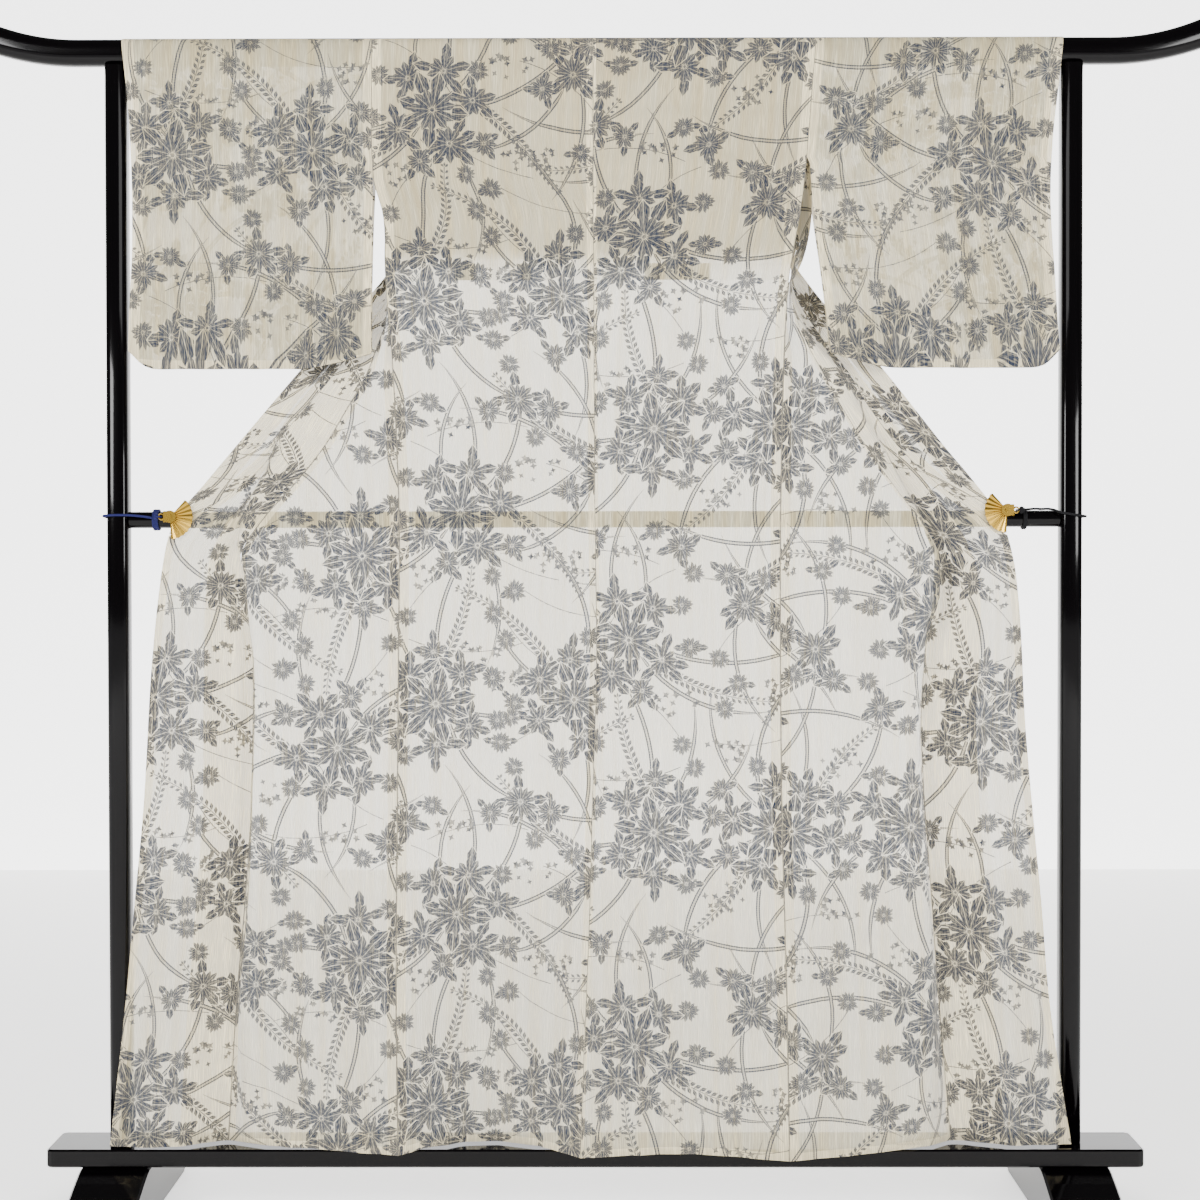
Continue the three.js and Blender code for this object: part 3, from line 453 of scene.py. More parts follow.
def heading(angle):
    return np.array([math.cos(angle), math.sin(angle)])


def blob(outline, start, angle, length, width, kind=petalInk):
    along = heading(angle) * length
    across = np.array([along[1], -along[0]]) / length * width / 2
    return {"kind": kind, "poly": start + outline[:, :1] * along + outline[:, 1:] * across,
            "from": np.asarray(start, float),
            "inverse": np.linalg.inv(np.stack([along, across], axis=1))}


def plain(poly, kind):
    poly = np.asarray(poly, float)
    size = max(np.ptp(poly[:, 0]), np.ptp(poly[:, 1])) / 2
    return {"kind": kind, "poly": poly, "from": poly.mean(axis=0), "inverse": np.eye(2) / size}


def bent(x, y, angle, length, bend, steps):
    # A stroke whose heading turns evenly by bend from end to end
    turn = math.radians(angle) + math.radians(bend) * (np.arange(steps) + 0.5) / steps
    moves = np.stack([np.cos(turn), np.sin(turn)], axis=1) * length / steps
    return np.vstack([[x, y], np.array([x, y]) + np.cumsum(moves, axis=0)])


def ribbon(path, widths, kind):
    ways = np.gradient(path, axis=0)
    ways /= np.linalg.norm(ways, axis=1, keepdims=True)
    side = np.stack([ways[:, 1], -ways[:, 0]], axis=1) * np.asarray(widths)[:, None] / 2
    return {"kind": kind, "poly": np.vstack([path + side, (path - side)[::-1]]), "path": path,
            "half": np.asarray(widths) / 2}


def grassBlade(x, y, angle, length, bend, width):
    path = bent(x, y, angle, length * 1.1, bend * 1.4, max(8, int(length / 14)))
    share = np.linspace(0, 1, len(path))
    taper = np.minimum(1, np.minimum(share * 5 + 0.12, (1 - share) * 3.2 + 0.06))
    return [ribbon(path, width * 1.15 * taper, bladeInk)]


def hairline(x, y, angle, length, bend, width=1.2):
    path = bent(x, y, angle, length, bend, max(6, int(length / 16)))
    return [ribbon(path, np.full(len(path), width), dotInk)]


def ear(x, y, angle, length, bend, grains, size):
    # A stem with paired grains that lean forward and shrink to the tip
    path = bent(x, y, angle, length, bend, grains)
    made = [ribbon(path, np.full(len(path), 1.2), dotInk)]
    for k in range(1, grains + 1):
        way = path[k] - path[k - 1]
        turn = math.atan2(way[1], way[0])
        grow = size * (1 - 0.45 * (k / grains) ** 2)
        for side in (-1, 1):
            start = path[k] + heading(turn + side * 1.57) * 0.9
            made.append(blob(grainOutline, start, turn + side * 0.72, grow, grow * 0.5))
    made.append(blob(grainOutline, path[-1], turn, size * 0.6, size * 0.24))
    return made


# Shares of a blossom's size
blossomShape = {
    "leafFrom": 0.55, "leafWide": 0.58, "leafReach": (1.35, 1.7),
    "petalFrom": 0.07, "petalWide": 0.67, "petalReach": (0.84, 1.06), "disc": 0.8, "hub": 0.09,
}


def blossom(x, y, size, petals, turn, leaves, rng):
    # Leaves, a ground disc over their feet, then petals and a small heart
    shape = blossomShape
    centre = np.array([x, y], float)
    made = []
    for k in range(leaves):
        angle = turn + 2 * math.pi * k / max(leaves, 1) + rng.uniform(-0.35, 0.35)
        reach = size * rng.uniform(*shape["leafReach"])
        clear = blob(leafOutline, centre + heading(angle) * size * 0.5, angle + rng.uniform(-.3, .3),
                     reach - size * 0.5 + 1.6, size * 0.62 + 1.6, ground)
        made.append(clear)
        made.append(blob(leafOutline, centre + heading(angle) * size * shape["leafFrom"],
                         math.atan2(clear["poly"][3][1] - clear["poly"][0][1],
                                    clear["poly"][3][0] - clear["poly"][0][0]),
                         reach - size * shape["leafFrom"], size * shape["leafWide"]))
    around = 2 * math.pi * np.arange(petals) / petals + turn
    rim = centre + np.stack([np.cos(around), np.sin(around)], axis=1) * size * shape["disc"]
    made.append(plain(rim, ground))
    for k in range(petals):
        angle = turn + 2 * math.pi * k / petals + rng.uniform(-0.08, 0.08)
        reach = size * rng.uniform(*shape["petalReach"])
        wide = 2 * math.pi * shape["petalWide"] * reach / petals
        start = size * shape["petalFrom"]
        made.append(blob(petalOutline, centre + heading(angle) * start, angle, reach - start,
                         wide))
    hub = around[::max(1, petals // 5)]
    heart = np.stack([np.cos(hub), np.sin(hub)], axis=1) * size * shape["hub"]
    made.append(plain(centre + heart, dotInk))
    return made


def sprayFlower(x, y, size, turn):
    # Four lobes, drawn as one outline
    angles = turn + 2 * math.pi * np.arange(8) / 8
    radii = size * np.array([0.45, 1] * 4)
    poly = np.array([x, y]) + np.stack([np.cos(angles), np.sin(angles)], axis=1) * radii[:, None]
    return [plain(poly, dotInk)]


# Places of the motifs in the repeat: right, up, sizes in millimetres, angles in degrees
bladeRows = [
    (96, 130, 118, 240, -62, 5.6), (104, 140, 150, 210, -50, 5), (90, 122, 200, 230, 54, 5.6),
    (110, 120, 232, 190, 48, 5), (118, 128, 330, 200, 50, 5.6), (112, 140, 20, 170, 46, 5),
    (262, 402, 150, 230, -56, 5.6), (250, 396, 178, 260, -46, 5.6), (258, 410, 118, 200, -50, 5),
    (272, 388, 300, 210, 50, 5.6), (280, 398, 330, 240, 44, 5.6), (270, 412, 62, 170, 52, 5),
    (256, 380, 226, 200, 50, 5), (292, 138, 40, 180, 44, 5), (286, 128, 74, 230, 40, 5.6),
    (300, 130, 12, 190, 46, 5), (282, 120, 262, 190, -48, 5.6), (60, 452, 96, 190, -46, 5),
    (66, 440, 60, 210, -44, 5.6), (54, 446, 250, 180, 50, 5), (70, 436, 292, 160, 46, 5.6),
    (172, 560, 206, 220, -42, 5.6), (178, 556, 232, 190, -46, 5),
]
hairRows = [
    (120, 300, 10, 190, 40), (20, 250, 350, 170, 50), (200, 60, 160, 170, -44),
    (330, 500, 200, 160, 50), (160, 520, 15, 150, -40), (170, 210, 340, 170, 44),
    (20, 380, 60, 150, -46), (210, 270, 250, 150, -50), (340, 250, 120, 170, 44),
]
earRows = [
    (118, 156, 62, 200, -40, 22, 13), (236, 428, 208, 210, 34, 24, 13.5),
    (310, 150, 128, 180, -34, 20, 13), (286, 374, 322, 190, 36, 22, 13),
    (72, 100, 248, 170, -36, 19, 12.5), (44, 474, 22, 200, 30, 22, 13),
]
# A cluster of blossoms: right, up, size, petals, leaves
clusterRows = [
    (0, 0, 37, 11, 7), (56, 16, 27, 10, 5), (-50, 26, 26, 10, 5), (20, 54, 25, 10, 4),
    (-28, -46, 29, 10, 6), (42, -42, 25, 9, 5), (-72, -22, 21, 11, 4), (82, -26, 18, 15, 1),
    (2, 92, 17, 14, 0), (-56, 70, 18, 12, 2), (-2, -88, 19, 12, 3),
]
# right, up, turn, mirrored
clusterSpots = [(96, 128, 14, 1), (262, 398, -58, -1), (296, 122, 104, -1)]
# right, up, size, petals, turn, leaves
blossomRows = [
    (196, 214, 17, 16, 10, 0), (214, 252, 17, 15, 40, 0), (184, 284, 18, 16, 0, 1),
    (216, 306, 16, 15, 12, 0), (30, 300, 17, 16, 25, 0), (50, 336, 18, 15, 5, 2),
    (22, 372, 17, 16, 15, 0), (356, 214, 17, 15, 6, 0), (338, 248, 16, 16, 30, 0),
    (182, 30, 17, 16, 12, 0), (202, 66, 18, 15, 0, 2), (188, 102, 16, 16, 20, 0),
    (60, 448, 29, 14, 33, 5), (104, 428, 20, 13, 4, 3), (34, 492, 21, 13, 18, 3),
    (92, 484, 18, 15, 9, 2), (150, 506, 17, 16, 22, 0), (128, 546, 22, 13, 3, 4),
    (172, 560, 27, 14, 14, 5), (216, 544, 19, 13, 31, 3), (338, 532, 24, 13, 12, 4),
    (300, 556, 18, 15, 27, 2), (356, 494, 17, 16, 8, 0),
]
# right, up, wide, high, count
cloudRows = [
    (126, 330, 44, 20, 16), (192, 156, 30, 24, 11), (32, 238, 34, 18, 10), (330, 308, 34, 20, 12),
    (148, 462, 34, 18, 10), (262, 520, 36, 18, 12), (232, 200, 30, 16, 8), (22, 30, 30, 20, 10),
]


def drawRepeat():
    # Later shapes lie over earlier ones: hairs, blades, ears, spray, then blossoms
    rng = random.Random(repeat["seed"])
    motifs = []
    for row in hairRows:
        motifs += hairline(*row)
    for row in bladeRows:
        motifs += grassBlade(*row)
    for row in earRows:
        motifs += ear(*row)
    for x, y, wide, high, count in cloudRows:
        for _ in range(int(count * 1.5)):
            a, r = rng.uniform(0, 2 * math.pi), math.sqrt(rng.random())
            motifs += sprayFlower(x + wide * r * math.cos(a), y + high * r * math.sin(a),
                                  rng.uniform(4.2, 6.0), rng.uniform(0, 1.5))
    for x, y, turn, mirror in clusterSpots:
        a = math.radians(turn)
        for dx, dy, size, petals, leaves in clusterRows[::-1]:
            right = x + mirror * dx * math.cos(a) - dy * math.sin(a)
            up = y + mirror * dx * math.sin(a) + dy * math.cos(a)
            motifs += blossom(right, up, size, petals, rng.uniform(0, 1), leaves, rng)
    for x, y, size, petals, turn, leaves in blossomRows:
        motifs += blossom(x, y, size, petals, math.radians(turn), leaves, rng)
    return motifs


repeatMotifs = drawRepeat()
print("print repeat:", len(repeatMotifs), "shapes")


def motifsOver(box, offset):
    # Every shape of the bolt that falls in the box, with how far its repeat is moved
    found = []
    (x0, t0), (x1, t1) = box
    wide, long = repeat["wide"], repeat["long"]
    shifts = [np.array([a * wide - offset[0], b * long - offset[1]])
              for a in range(int((x0 + offset[0]) // wide) - 1, int((x1 + offset[0]) // wide) + 2)
              for b in range(int((t0 + offset[1]) // long) - 1, int((t1 + offset[1]) // long) + 2)]
    for motif in repeatMotifs:
        low, high = motif["poly"].min(axis=0), motif["poly"].max(axis=0)
        for shift in shifts:
            if (low + shift < (x1, t1)).all() and (high + shift > (x0, t0)).all():
                found.append((motif, shift))
    return found


def ribbonPlace(points, motif, shift):
    # (share along, share across) of points in a ribbon
    path = motif["path"] + shift
    a, b = path[:-1], path[1:]
    along = b - a
    size = (along ** 2).sum(axis=1)
    gap = points[:, None, :] - a[None]
    share = np.clip((gap * along[None]).sum(axis=2) / size, 0, 1)
    off = gap - share[:, :, None] * along[None]
    nearest = (off ** 2).sum(axis=2).argmin(axis=1)
    k = np.arange(len(points))
    cross = along[nearest, 0] * off[k, nearest, 1] - along[nearest, 1] * off[k, nearest, 0]
    spot = nearest + share[k, nearest]
    half = np.interp(spot, np.arange(len(path)), motif["half"])
    return np.stack([spot / (len(path) - 1),
                     cross / np.sqrt(size[nearest]) / np.maximum(half, 0.05)], axis=1)


def wound(poly):
    # Corners in anticlockwise order
    x, y = poly[:, 0], poly[:, 1]
    return poly if (x * np.roll(y, -1) - y * np.roll(x, -1)).sum() > 0 else poly[::-1]


def edgeBands(sheet, allowances):
    # Outlines of the turned allowances along the left, right, first and last edges
    t, left, right = sheet["t"], sheet["left"], sheet["right"]
    bands = []
    for edge, way, width in ((left, 1, allowances[0]), (right, -1, allowances[1])):
        if width:
            inner = edge + way * np.minimum(width, (right - left) * 0.9)
            path, back = np.stack([edge, t], axis=1), np.stack([inner, t], axis=1)
            bands.append(wound(np.vstack([path, back[::-1]])))
    for low, high, width in ((t[0], t[0] + allowances[2], allowances[2]),
                             (t[-1] - allowances[3], t[-1], allowances[3])):
        if width:
            ts = np.array([low, high])
            a, b = np.interp(ts, t, left), np.interp(ts, t, right)
            bands.append(np.array([[a[0], low], [b[0], low], [b[1], high], [a[1], high]]))
    return bands


def seamLines(sheet, settings):
    # A fine line beside a seam, on the side where its allowance ends
    lines = []
    for side, way in (("left", 1), ("right", -1)):
        if side in settings.get("lines", ()):
            edge = sheet[side] + way * 0.1
            path, back = (np.stack([edge + way * k, sheet["t"]], axis=1) for k in (0, 0.9))
            lines.append((plain(wound(np.vstack([path, back[::-1]])), dotInk), np.zeros(2)))
    return lines


def printed(sheet, settings):
    # The panel's flat outline, cut into triangles along every printed shape
    t, step = sheet["t"], settings["step"]
    outline = [(x, y) for x, y in zip(sheet["right"], t)]
    outline += [(x, y) for x, y in zip(sheet["left"][::-1], t[::-1])]
    verts = list(outline)
    faces = [list(range(len(outline)))]
    bands = edgeBands(sheet, settings["allowances"])
    box = ((sheet["left"].min(), t[0]), (sheet["right"].max(), t[-1]))
    motifs = motifsOver(box, settings["offset"]) + seamLines(sheet, settings)
    for poly in bands + [motif["poly"] + shift for motif, shift in motifs]:
        start = len(verts)
        verts += [tuple(p) for p in poly]
        faces.append(list(range(start, len(verts))))
    for y in np.arange(t[0] + step / 2, t[-1], step):
        left, right = np.interp(y, t, sheet["left"]), np.interp(y, t, sheet["right"])
        count = max(2, round((right - left) / step))
        verts += [(left + (right - left) * k / count, y) for k in range(1, count)]
    cuts = []
    for y, spots in zip(t, sheet["spots"]):
        # Every shape is cut along these rows, so that it bends round the bar
        if spots[:, 2].mean() > stand["barMidZ"] - 4:
            left, right = np.interp(y, t, sheet["left"]), np.interp(y, t, sheet["right"])
            verts += [(left + 0.02, y), (right - 0.02, y)]
            cuts.append((len(verts) - 2, len(verts) - 1))
    out = delaunay_2d_cdt([Vector(v) for v in verts], cuts, faces, 1, 1e-3, True)
    points = np.array([tuple(v) for v in out[0]])
    keep = [(f, max(o), len(bands) and any(1 <= k <= len(bands) for k in o))
            for f, o in zip(out[2], out[5]) if 0 in o]
    tris = np.array([f for f, _, _ in keep])
    owner = np.array([o for _, o, _ in keep]) - 1 - len(bands)
    doubled = np.array([bool(d) for _, _, d in keep], float)
    corners = points[tris]
    kinds = np.zeros(len(tris), int)
    local = np.zeros((len(tris), 3, 2))
    order = np.argsort(owner, kind="stable")
    bounds = np.searchsorted(owner[order], np.arange(len(motifs) + 1))
    for k, (motif, shift) in enumerate(motifs):
        mine = order[bounds[k]:bounds[k + 1]]
        if not len(mine):
            continue
        kinds[mine] = motif["kind"]
        flat = corners[mine].reshape(-1, 2)
        if "path" in motif:
            placed = ribbonPlace(flat, motif, shift)
        else:
            placed = (flat - shift - motif["from"]) @ motif["inverse"].T
        local[mine] = placed.reshape(-1, 3, 2)
    return points, tris, kinds, local, doubled


def bakePlace(points, centres, sheet):
    # Flat cloth cut into columns that lie side by side in the square
    long = sheet["t"][-1]
    wide = sheet["right"].max() - sheet["left"].min()
    count = max(1, round(math.sqrt(long / wide)))
    column = np.clip((centres / long * count).astype(int), 0, count - 1)[:, None]
    u = (points[..., 0] - sheet["left"].min()) / wide
    v = points[..., 1] / long * count - column
    return np.stack([(column + 0.01 + 0.98 * np.clip(u, 0, 1)) / count,
                     0.03 + 0.94 * np.clip(v, -0.02, 1.02)], axis=-1)


def clothMesh(sheet, settings, materials):
    points, tris, kinds, local, doubled = printed(sheet, settings)
    spots, normals = onCloth(sheet, points[:, 0], points[:, 1])
    corners = points[tris]
    middles = corners[:, :, 1].mean(axis=1)
    # Set by height alone: painted shade makes the back darker, browner and more opaque above the tuck
    upperShade = ease(spots[tris][:, :, 2], hang["upperLow"], hang["upperHigh"])
    upperShade = upperShade * settings.get("upperShade", 1)
    uvs = {"OFBake": bakePlace(corners, middles, sheet), "Cloth": corners * mm, "Motif": local,
           "Layers": np.stack([np.repeat(doubled[:, None], 3, axis=1), upperShade], axis=-1)}
    mesh = bpy.data.meshes.new(sheet["name"])
    mesh.from_pydata((spots * mm).tolist(), [], tris.tolist())
    for name, values in uvs.items():
        layer = mesh.uv_layers.new(name=name)
        layer.data.foreach_set("uv", values.astype(np.float32).ravel())
    for material in materials:
        mesh.materials.append(material)
    mesh.polygons.foreach_set("material_index", kinds.astype(np.int32))
    mesh.polygons.foreach_set("use_smooth", np.ones(len(tris), bool))
    mesh.normals_split_custom_set_from_vertices(normals.tolist())
    mesh.update()
    piece = bpy.data.objects.new(sheet["name"], mesh)
    bpy.context.scene.collection.objects.link(piece)
    return piece


# Material helpers

def calc(tree, operation, *values, clamp=False):
    node = tree.nodes.new("ShaderNodeMath")
    node.operation = operation
    node.use_clamp = clamp
    for socket, value in zip(node.inputs, values):
        if isinstance(value, bpy.types.NodeSocket):
            tree.links.new(value, socket)
        else:
            socket.default_value = value
    return node.outputs[0]


def mixColour(tree, factor, one, other, blend="MIX"):
    node = tree.nodes.new("ShaderNodeMix")
    node.data_type = "RGBA"
    node.blend_type = blend
    for socket, value in zip((node.inputs[0], node.inputs[6], node.inputs[7]),
                             (factor, one, other)):
        if isinstance(value, bpy.types.NodeSocket):
            tree.links.new(value, socket)
        else:
            socket.default_value = value
    return node.outputs[2]


def stretched(tree, vector, scale):
    node = tree.nodes.new("ShaderNodeVectorMath")
    node.operation = "MULTIPLY"
    tree.links.new(vector, node.inputs[0])
    node.inputs[1].default_value = scale
    return node.outputs[0]


def noise(tree, vector, scale, detail=2.0, rough=0.5, flat=True):
    node = tree.nodes.new("ShaderNodeTexNoise")
    node.noise_dimensions = "2D" if flat else "3D"
    node.inputs["Scale"].default_value = scale
    node.inputs["Detail"].default_value = detail
    node.inputs["Roughness"].default_value = rough
    tree.links.new(vector, node.inputs["Vector"])
    return node.outputs["Fac"]


def uvMap(tree, name):
    node = tree.nodes.new("ShaderNodeUVMap")
    node.uv_map = name
    return node.outputs[0]


def srgb(red, green, blue):
    def linear(value):
        value /= 255
        return value / 12.92 if value <= 0.04045 else ((value + 0.055) / 1.055) ** 2.4
    return (linear(red), linear(green), linear(blue), 1)


def newGroup(name, inputs, outputs):
    tree = bpy.data.node_groups.new(name, "ShaderNodeTree")
    for label, kind in inputs:
        tree.interface.new_socket(name=label, in_out="INPUT", socket_type=kind)
    for label, kind in outputs:
        tree.interface.new_socket(name=label, in_out="OUTPUT", socket_type=kind)
    entry = tree.nodes.new("NodeGroupInput")
    leave = tree.nodes.new("NodeGroupOutput")
    return tree, entry, leave


# Two of these colours are painted shade: one for the crinkles' valleys, one for the back above the
# tuck.
crepeLook = {
    "crinkleScale": (430, 16, 1), "streakScale": (60, 1.4, 1),
    "light": srgb(222, 213, 181), "cream": srgb(213, 198, 154), "ink": srgb(10, 28, 52),
    "shade": srgb(140, 130, 106), "doubled": srgb(246, 231, 190), "upperShade": srgb(150, 137, 112),
    "upperShare": 0.35, "upperAlpha": 0.25, "alpha": 0.74, "doubledAlpha": 0.14,
    "inkAlpha": 0.26, "sheen": 0.15, "bump": 0.8, "bumpDepth": 0.0012,
}


def crinkleGroup():
    # Upright crinkles of the crepe and slow streaks of a creamier tone
    tree, _, leave = newGroup("crepeCrinkle", [], [("Height", "NodeSocketFloat"),
                                                   ("Streak", "NodeSocketFloat")])
    flat = uvMap(tree, "Cloth")
    wide = noise(tree, stretched(tree, flat, crepeLook["crinkleScale"]), 1, 1, 0.6)
    ridge = calc(tree, "ABSOLUTE", calc(tree, "SUBTRACT", wide, 0.5))
    ridge = calc(tree, "MULTIPLY", ridge, 3.2, clamp=True)
    slow = noise(tree, stretched(tree, flat, crepeLook["streakScale"]), 1, 1, 0.6)
    tree.links.new(ridge, leave.inputs["Height"])
    tree.links.new(slow, leave.inputs["Streak"])
    return tree


crinkle = crinkleGroup()


def petalTone(tree):
    # Dark heart, paler tip, a light vein and a light rim
    place = tree.nodes.new("ShaderNodeSeparateXYZ")
    tree.links.new(uvMap(tree, "Motif"), place.inputs[0])
    along, across = place.outputs[0], calc(tree, "ABSOLUTE", place.outputs[1])
    body = calc(tree, "MULTIPLY_ADD", along, -0.24, 1.16)
    rim = calc(tree, "MULTIPLY_ADD", calc(tree, "GREATER_THAN", across, 0.84), -0.45, body)
    vein = calc(tree, "MULTIPLY", calc(tree, "LESS_THAN", across, 0.07), -0.5)
    hatch = noise(tree, stretched(tree, uvMap(tree, "Motif"), (5, 9, 1)), 1, 0)
    hatch = calc(tree, "MULTIPLY_ADD", hatch, 0.8, -0.5)
    return calc(tree, "ADD", calc(tree, "ADD", rim, vein), hatch, clamp=True)


def bladeTone(tree):
    # Two edge lines with pale hatching between them
    place = tree.nodes.new("ShaderNodeSeparateXYZ")
    tree.links.new(uvMap(tree, "Motif"), place.inputs[0])
    across = calc(tree, "ABSOLUTE", place.outputs[1])
    edge = calc(tree, "MULTIPLY", calc(tree, "GREATER_THAN", across, 0.4), 0.55)
    wave = calc(tree, "SINE", calc(tree, "MULTIPLY", place.outputs[0], 420))
    inner = calc(tree, "MULTIPLY_ADD", wave, 0.07, 0.36)
    return calc(tree, "ADD", edge, inner, clamp=True)


def dotTone(tree):
    flat = uvMap(tree, "Cloth")
    return calc(tree, "MULTIPLY_ADD", noise(tree, stretched(tree, flat, (160, 160, 1)), 1, 0),
                0.5, 0.55)


def crepeMaterial(name, tone=None):
    material = bpy.data.materials.new(name)
    material.use_nodes = True
    tree = material.node_tree
    shader = tree.nodes["Principled BSDF"]
    shader.inputs["Roughness"].default_value = 0.82
    shader.inputs["Specular IOR Level"].default_value = 0.25
    shader.inputs["Sheen Weight"].default_value = crepeLook["sheen"]
    shader.inputs["Sheen Roughness"].default_value = 0.5
    texture = tree.nodes.new("ShaderNodeGroup")
    texture.node_tree = crinkle
    height, streak = texture.outputs["Height"], texture.outputs["Streak"]
    streak = calc(tree, "MULTIPLY_ADD", streak, 3.2, -1.15, clamp=True)
    colour = mixColour(tree, streak, crepeLook["light"], crepeLook["cream"])
    parts = tree.nodes.new("ShaderNodeSeparateXYZ")
    tree.links.new(uvMap(tree, "Layers"), parts.inputs[0])
    doubled, upperShade = parts.outputs[0], parts.outputs[1]
    # Above the tuck the colour is mixed towards a darker brown and the alpha is raised: painted shade.
    colour = mixColour(tree, calc(tree, "MULTIPLY", upperShade, crepeLook["upperShare"]), colour,
                       crepeLook["upperShade"])
    colour = mixColour(tree, doubled, colour, crepeLook["doubled"])
    # The crinkles' valleys are mixed towards the shade colour: painted shade.
    valleyShade = calc(tree, "MULTIPLY_ADD", height, -1.3, 0.85, clamp=True)
    colour = mixColour(tree, calc(tree, "MULTIPLY", valleyShade, 0.6), colour, crepeLook["shade"])
    alpha = calc(tree, "MULTIPLY_ADD", height, 0.1, crepeLook["alpha"] - 0.03)
    alpha = calc(tree, "MULTIPLY_ADD", doubled, crepeLook["doubledAlpha"], alpha)
    alpha = calc(tree, "MULTIPLY_ADD", upperShade, crepeLook["upperAlpha"], alpha)
    if tone:
        mask = calc(tree, "MULTIPLY", tone(tree), calc(tree, "MULTIPLY_ADD", height, -0.16, 1.0))
        colour = mixColour(tree, mask, colour, crepeLook["ink"])
        alpha = calc(tree, "MULTIPLY_ADD", mask, crepeLook["inkAlpha"], alpha, clamp=True)
    tree.links.new(colour, shader.inputs["Base Color"])
    tree.links.new(alpha, shader.inputs["Alpha"])
    bump = tree.nodes.new("ShaderNodeBump")
    bump.inputs["Strength"].default_value = crepeLook["bump"]
    bump.inputs["Distance"].default_value = crepeLook["bumpDepth"]
    tree.links.new(height, bump.inputs["Height"])
    tree.links.new(bump.outputs[0], shader.inputs["Normal"])
    return material


crepeMaterials = [crepeMaterial("crepe"), crepeMaterial("crepePetals", petalTone),
                  crepeMaterial("crepeGrass", bladeTone), crepeMaterial("crepeSpray", dotTone)]

# offset: where in the print's repeat a piece was cut. allowances: widths turned in at the left,
# right, first and last edges. lines: seams that show as a fine line. upper shade: how much of the
# painted shade above the tuck a piece takes.
clothPieces = {
    "bodyLeft": {"node": "body_left", "offset": (350, 60), "step": 15,
                 "allowances": (10, 14, 11, 11), "lines": ("left", "right")},
    "bodyRight": {"node": "body_right", "offset": (480, 240), "step": 15,
                  "allowances": (4, 14, 11, 11), "lines": ("right",)},
    "overlapLeft": {"node": "overlap_left", "offset": (120, 330), "step": 15,
                    "allowances": (72, 11, 11, 4), "lines": ("left",)},
    "overlapRight": {"node": "overlap_right", "offset": (210, 90), "step": 15,
                     "allowances": (80, 11, 11, 4), "lines": ("left",)},
    "collarBand": {"node": "collar", "offset": (40, 150), "step": 12,
                   "allowances": (20, 35, 4, 4), "lines": ("left",)},
    "sleeveLeft": {"node": "sleeve_left", "offset": (10, 420), "step": 15, "upperShade": 0,
                   "allowances": (12, 16, 4, 4), "lines": ()},
    "sleeveRight": {"node": "sleeve_right", "offset": (0, 130), "step": 15, "upperShade": 0,
                    "allowances": (12, 16, 4, 4), "lines": ()},
    "tuckLeft": {"node": "tuck_left", "offset": (350, 500), "step": 12,
                 "allowances": (0, 0, 0, 0), "lines": ()},
    "tuckRight": {"node": "tuck_right", "offset": (480, 90), "step": 12,
                  "allowances": (0, 0, 0, 0), "lines": ()},
}
tuckShadeMaterial = crepeMaterial("crepeTuckShade")
# The tuck sheet's dark grey colour is painted shade.
for link in list(tuckShadeMaterial.node_tree.links):
    if link.to_socket.name in ("Base Color", "Alpha"):
        tuckShadeMaterial.node_tree.links.remove(link)
tuckShadeMaterial.node_tree.nodes["Principled BSDF"].inputs["Base Color"].default_value = (
    srgb(72, 70, 66))
# Stretches along X where the tuck's painted shade is opaque, in metres: middle, half length
tuckShadeSpots = [(0.12, 0.049), (-0.185, 0.017), (-0.097, 0.01)]


def unevenTuckShade(tree):
    # The tuck shows darker in the listed stretches, so the dark sheet is made opaque there: painted
    # shade
    place = tree.nodes.new("ShaderNodeSeparateXYZ")
    tree.links.new(tree.nodes.new("ShaderNodeTexCoord").outputs["Object"], place.inputs[0])
    near = 0.22
    for middle, half in tuckShadeSpots:
        gap = calc(tree, "ABSOLUTE", calc(tree, "SUBTRACT", place.outputs[0], middle))
        inside = calc(tree, "MULTIPLY", calc(tree, "SUBTRACT", half, gap), 250, clamp=True)
        near = calc(tree, "MULTIPLY_ADD", inside, 0.75, near)
    tree.links.new(near, tree.nodes["Principled BSDF"].inputs["Alpha"])


unevenTuckShade(tuckShadeMaterial.node_tree)


def hangCloth():
    sheets = {
        "bodyLeft": bodyPanel("bodyLeft", -1), "bodyRight": bodyPanel("bodyRight", 1),
        "overlapLeft": overlapPanel("overlapLeft", -1),
        "overlapRight": overlapPanel("overlapRight", 1),
        "collarBand": collarPanel("collarBand"),
        "sleeveLeft": sleevePanel("sleeveLeft", -1),
        "sleeveRight": sleevePanel("sleeveRight", 1),
        "tuckLeft": tuckPanel("tuckLeft", -1), "tuckRight": tuckPanel("tuckRight", 1),
    }
    for name, sheet in sheets.items():
        settings = clothPieces[name]
        looks = [tuckShadeMaterial] if name.startswith("tuck") else crepeMaterials
        piece = clothMesh(sheet, settings, looks)
        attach(piece, "root")
        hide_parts(settings["node"])


hangCloth()
print("cloth is hung")


# Stand

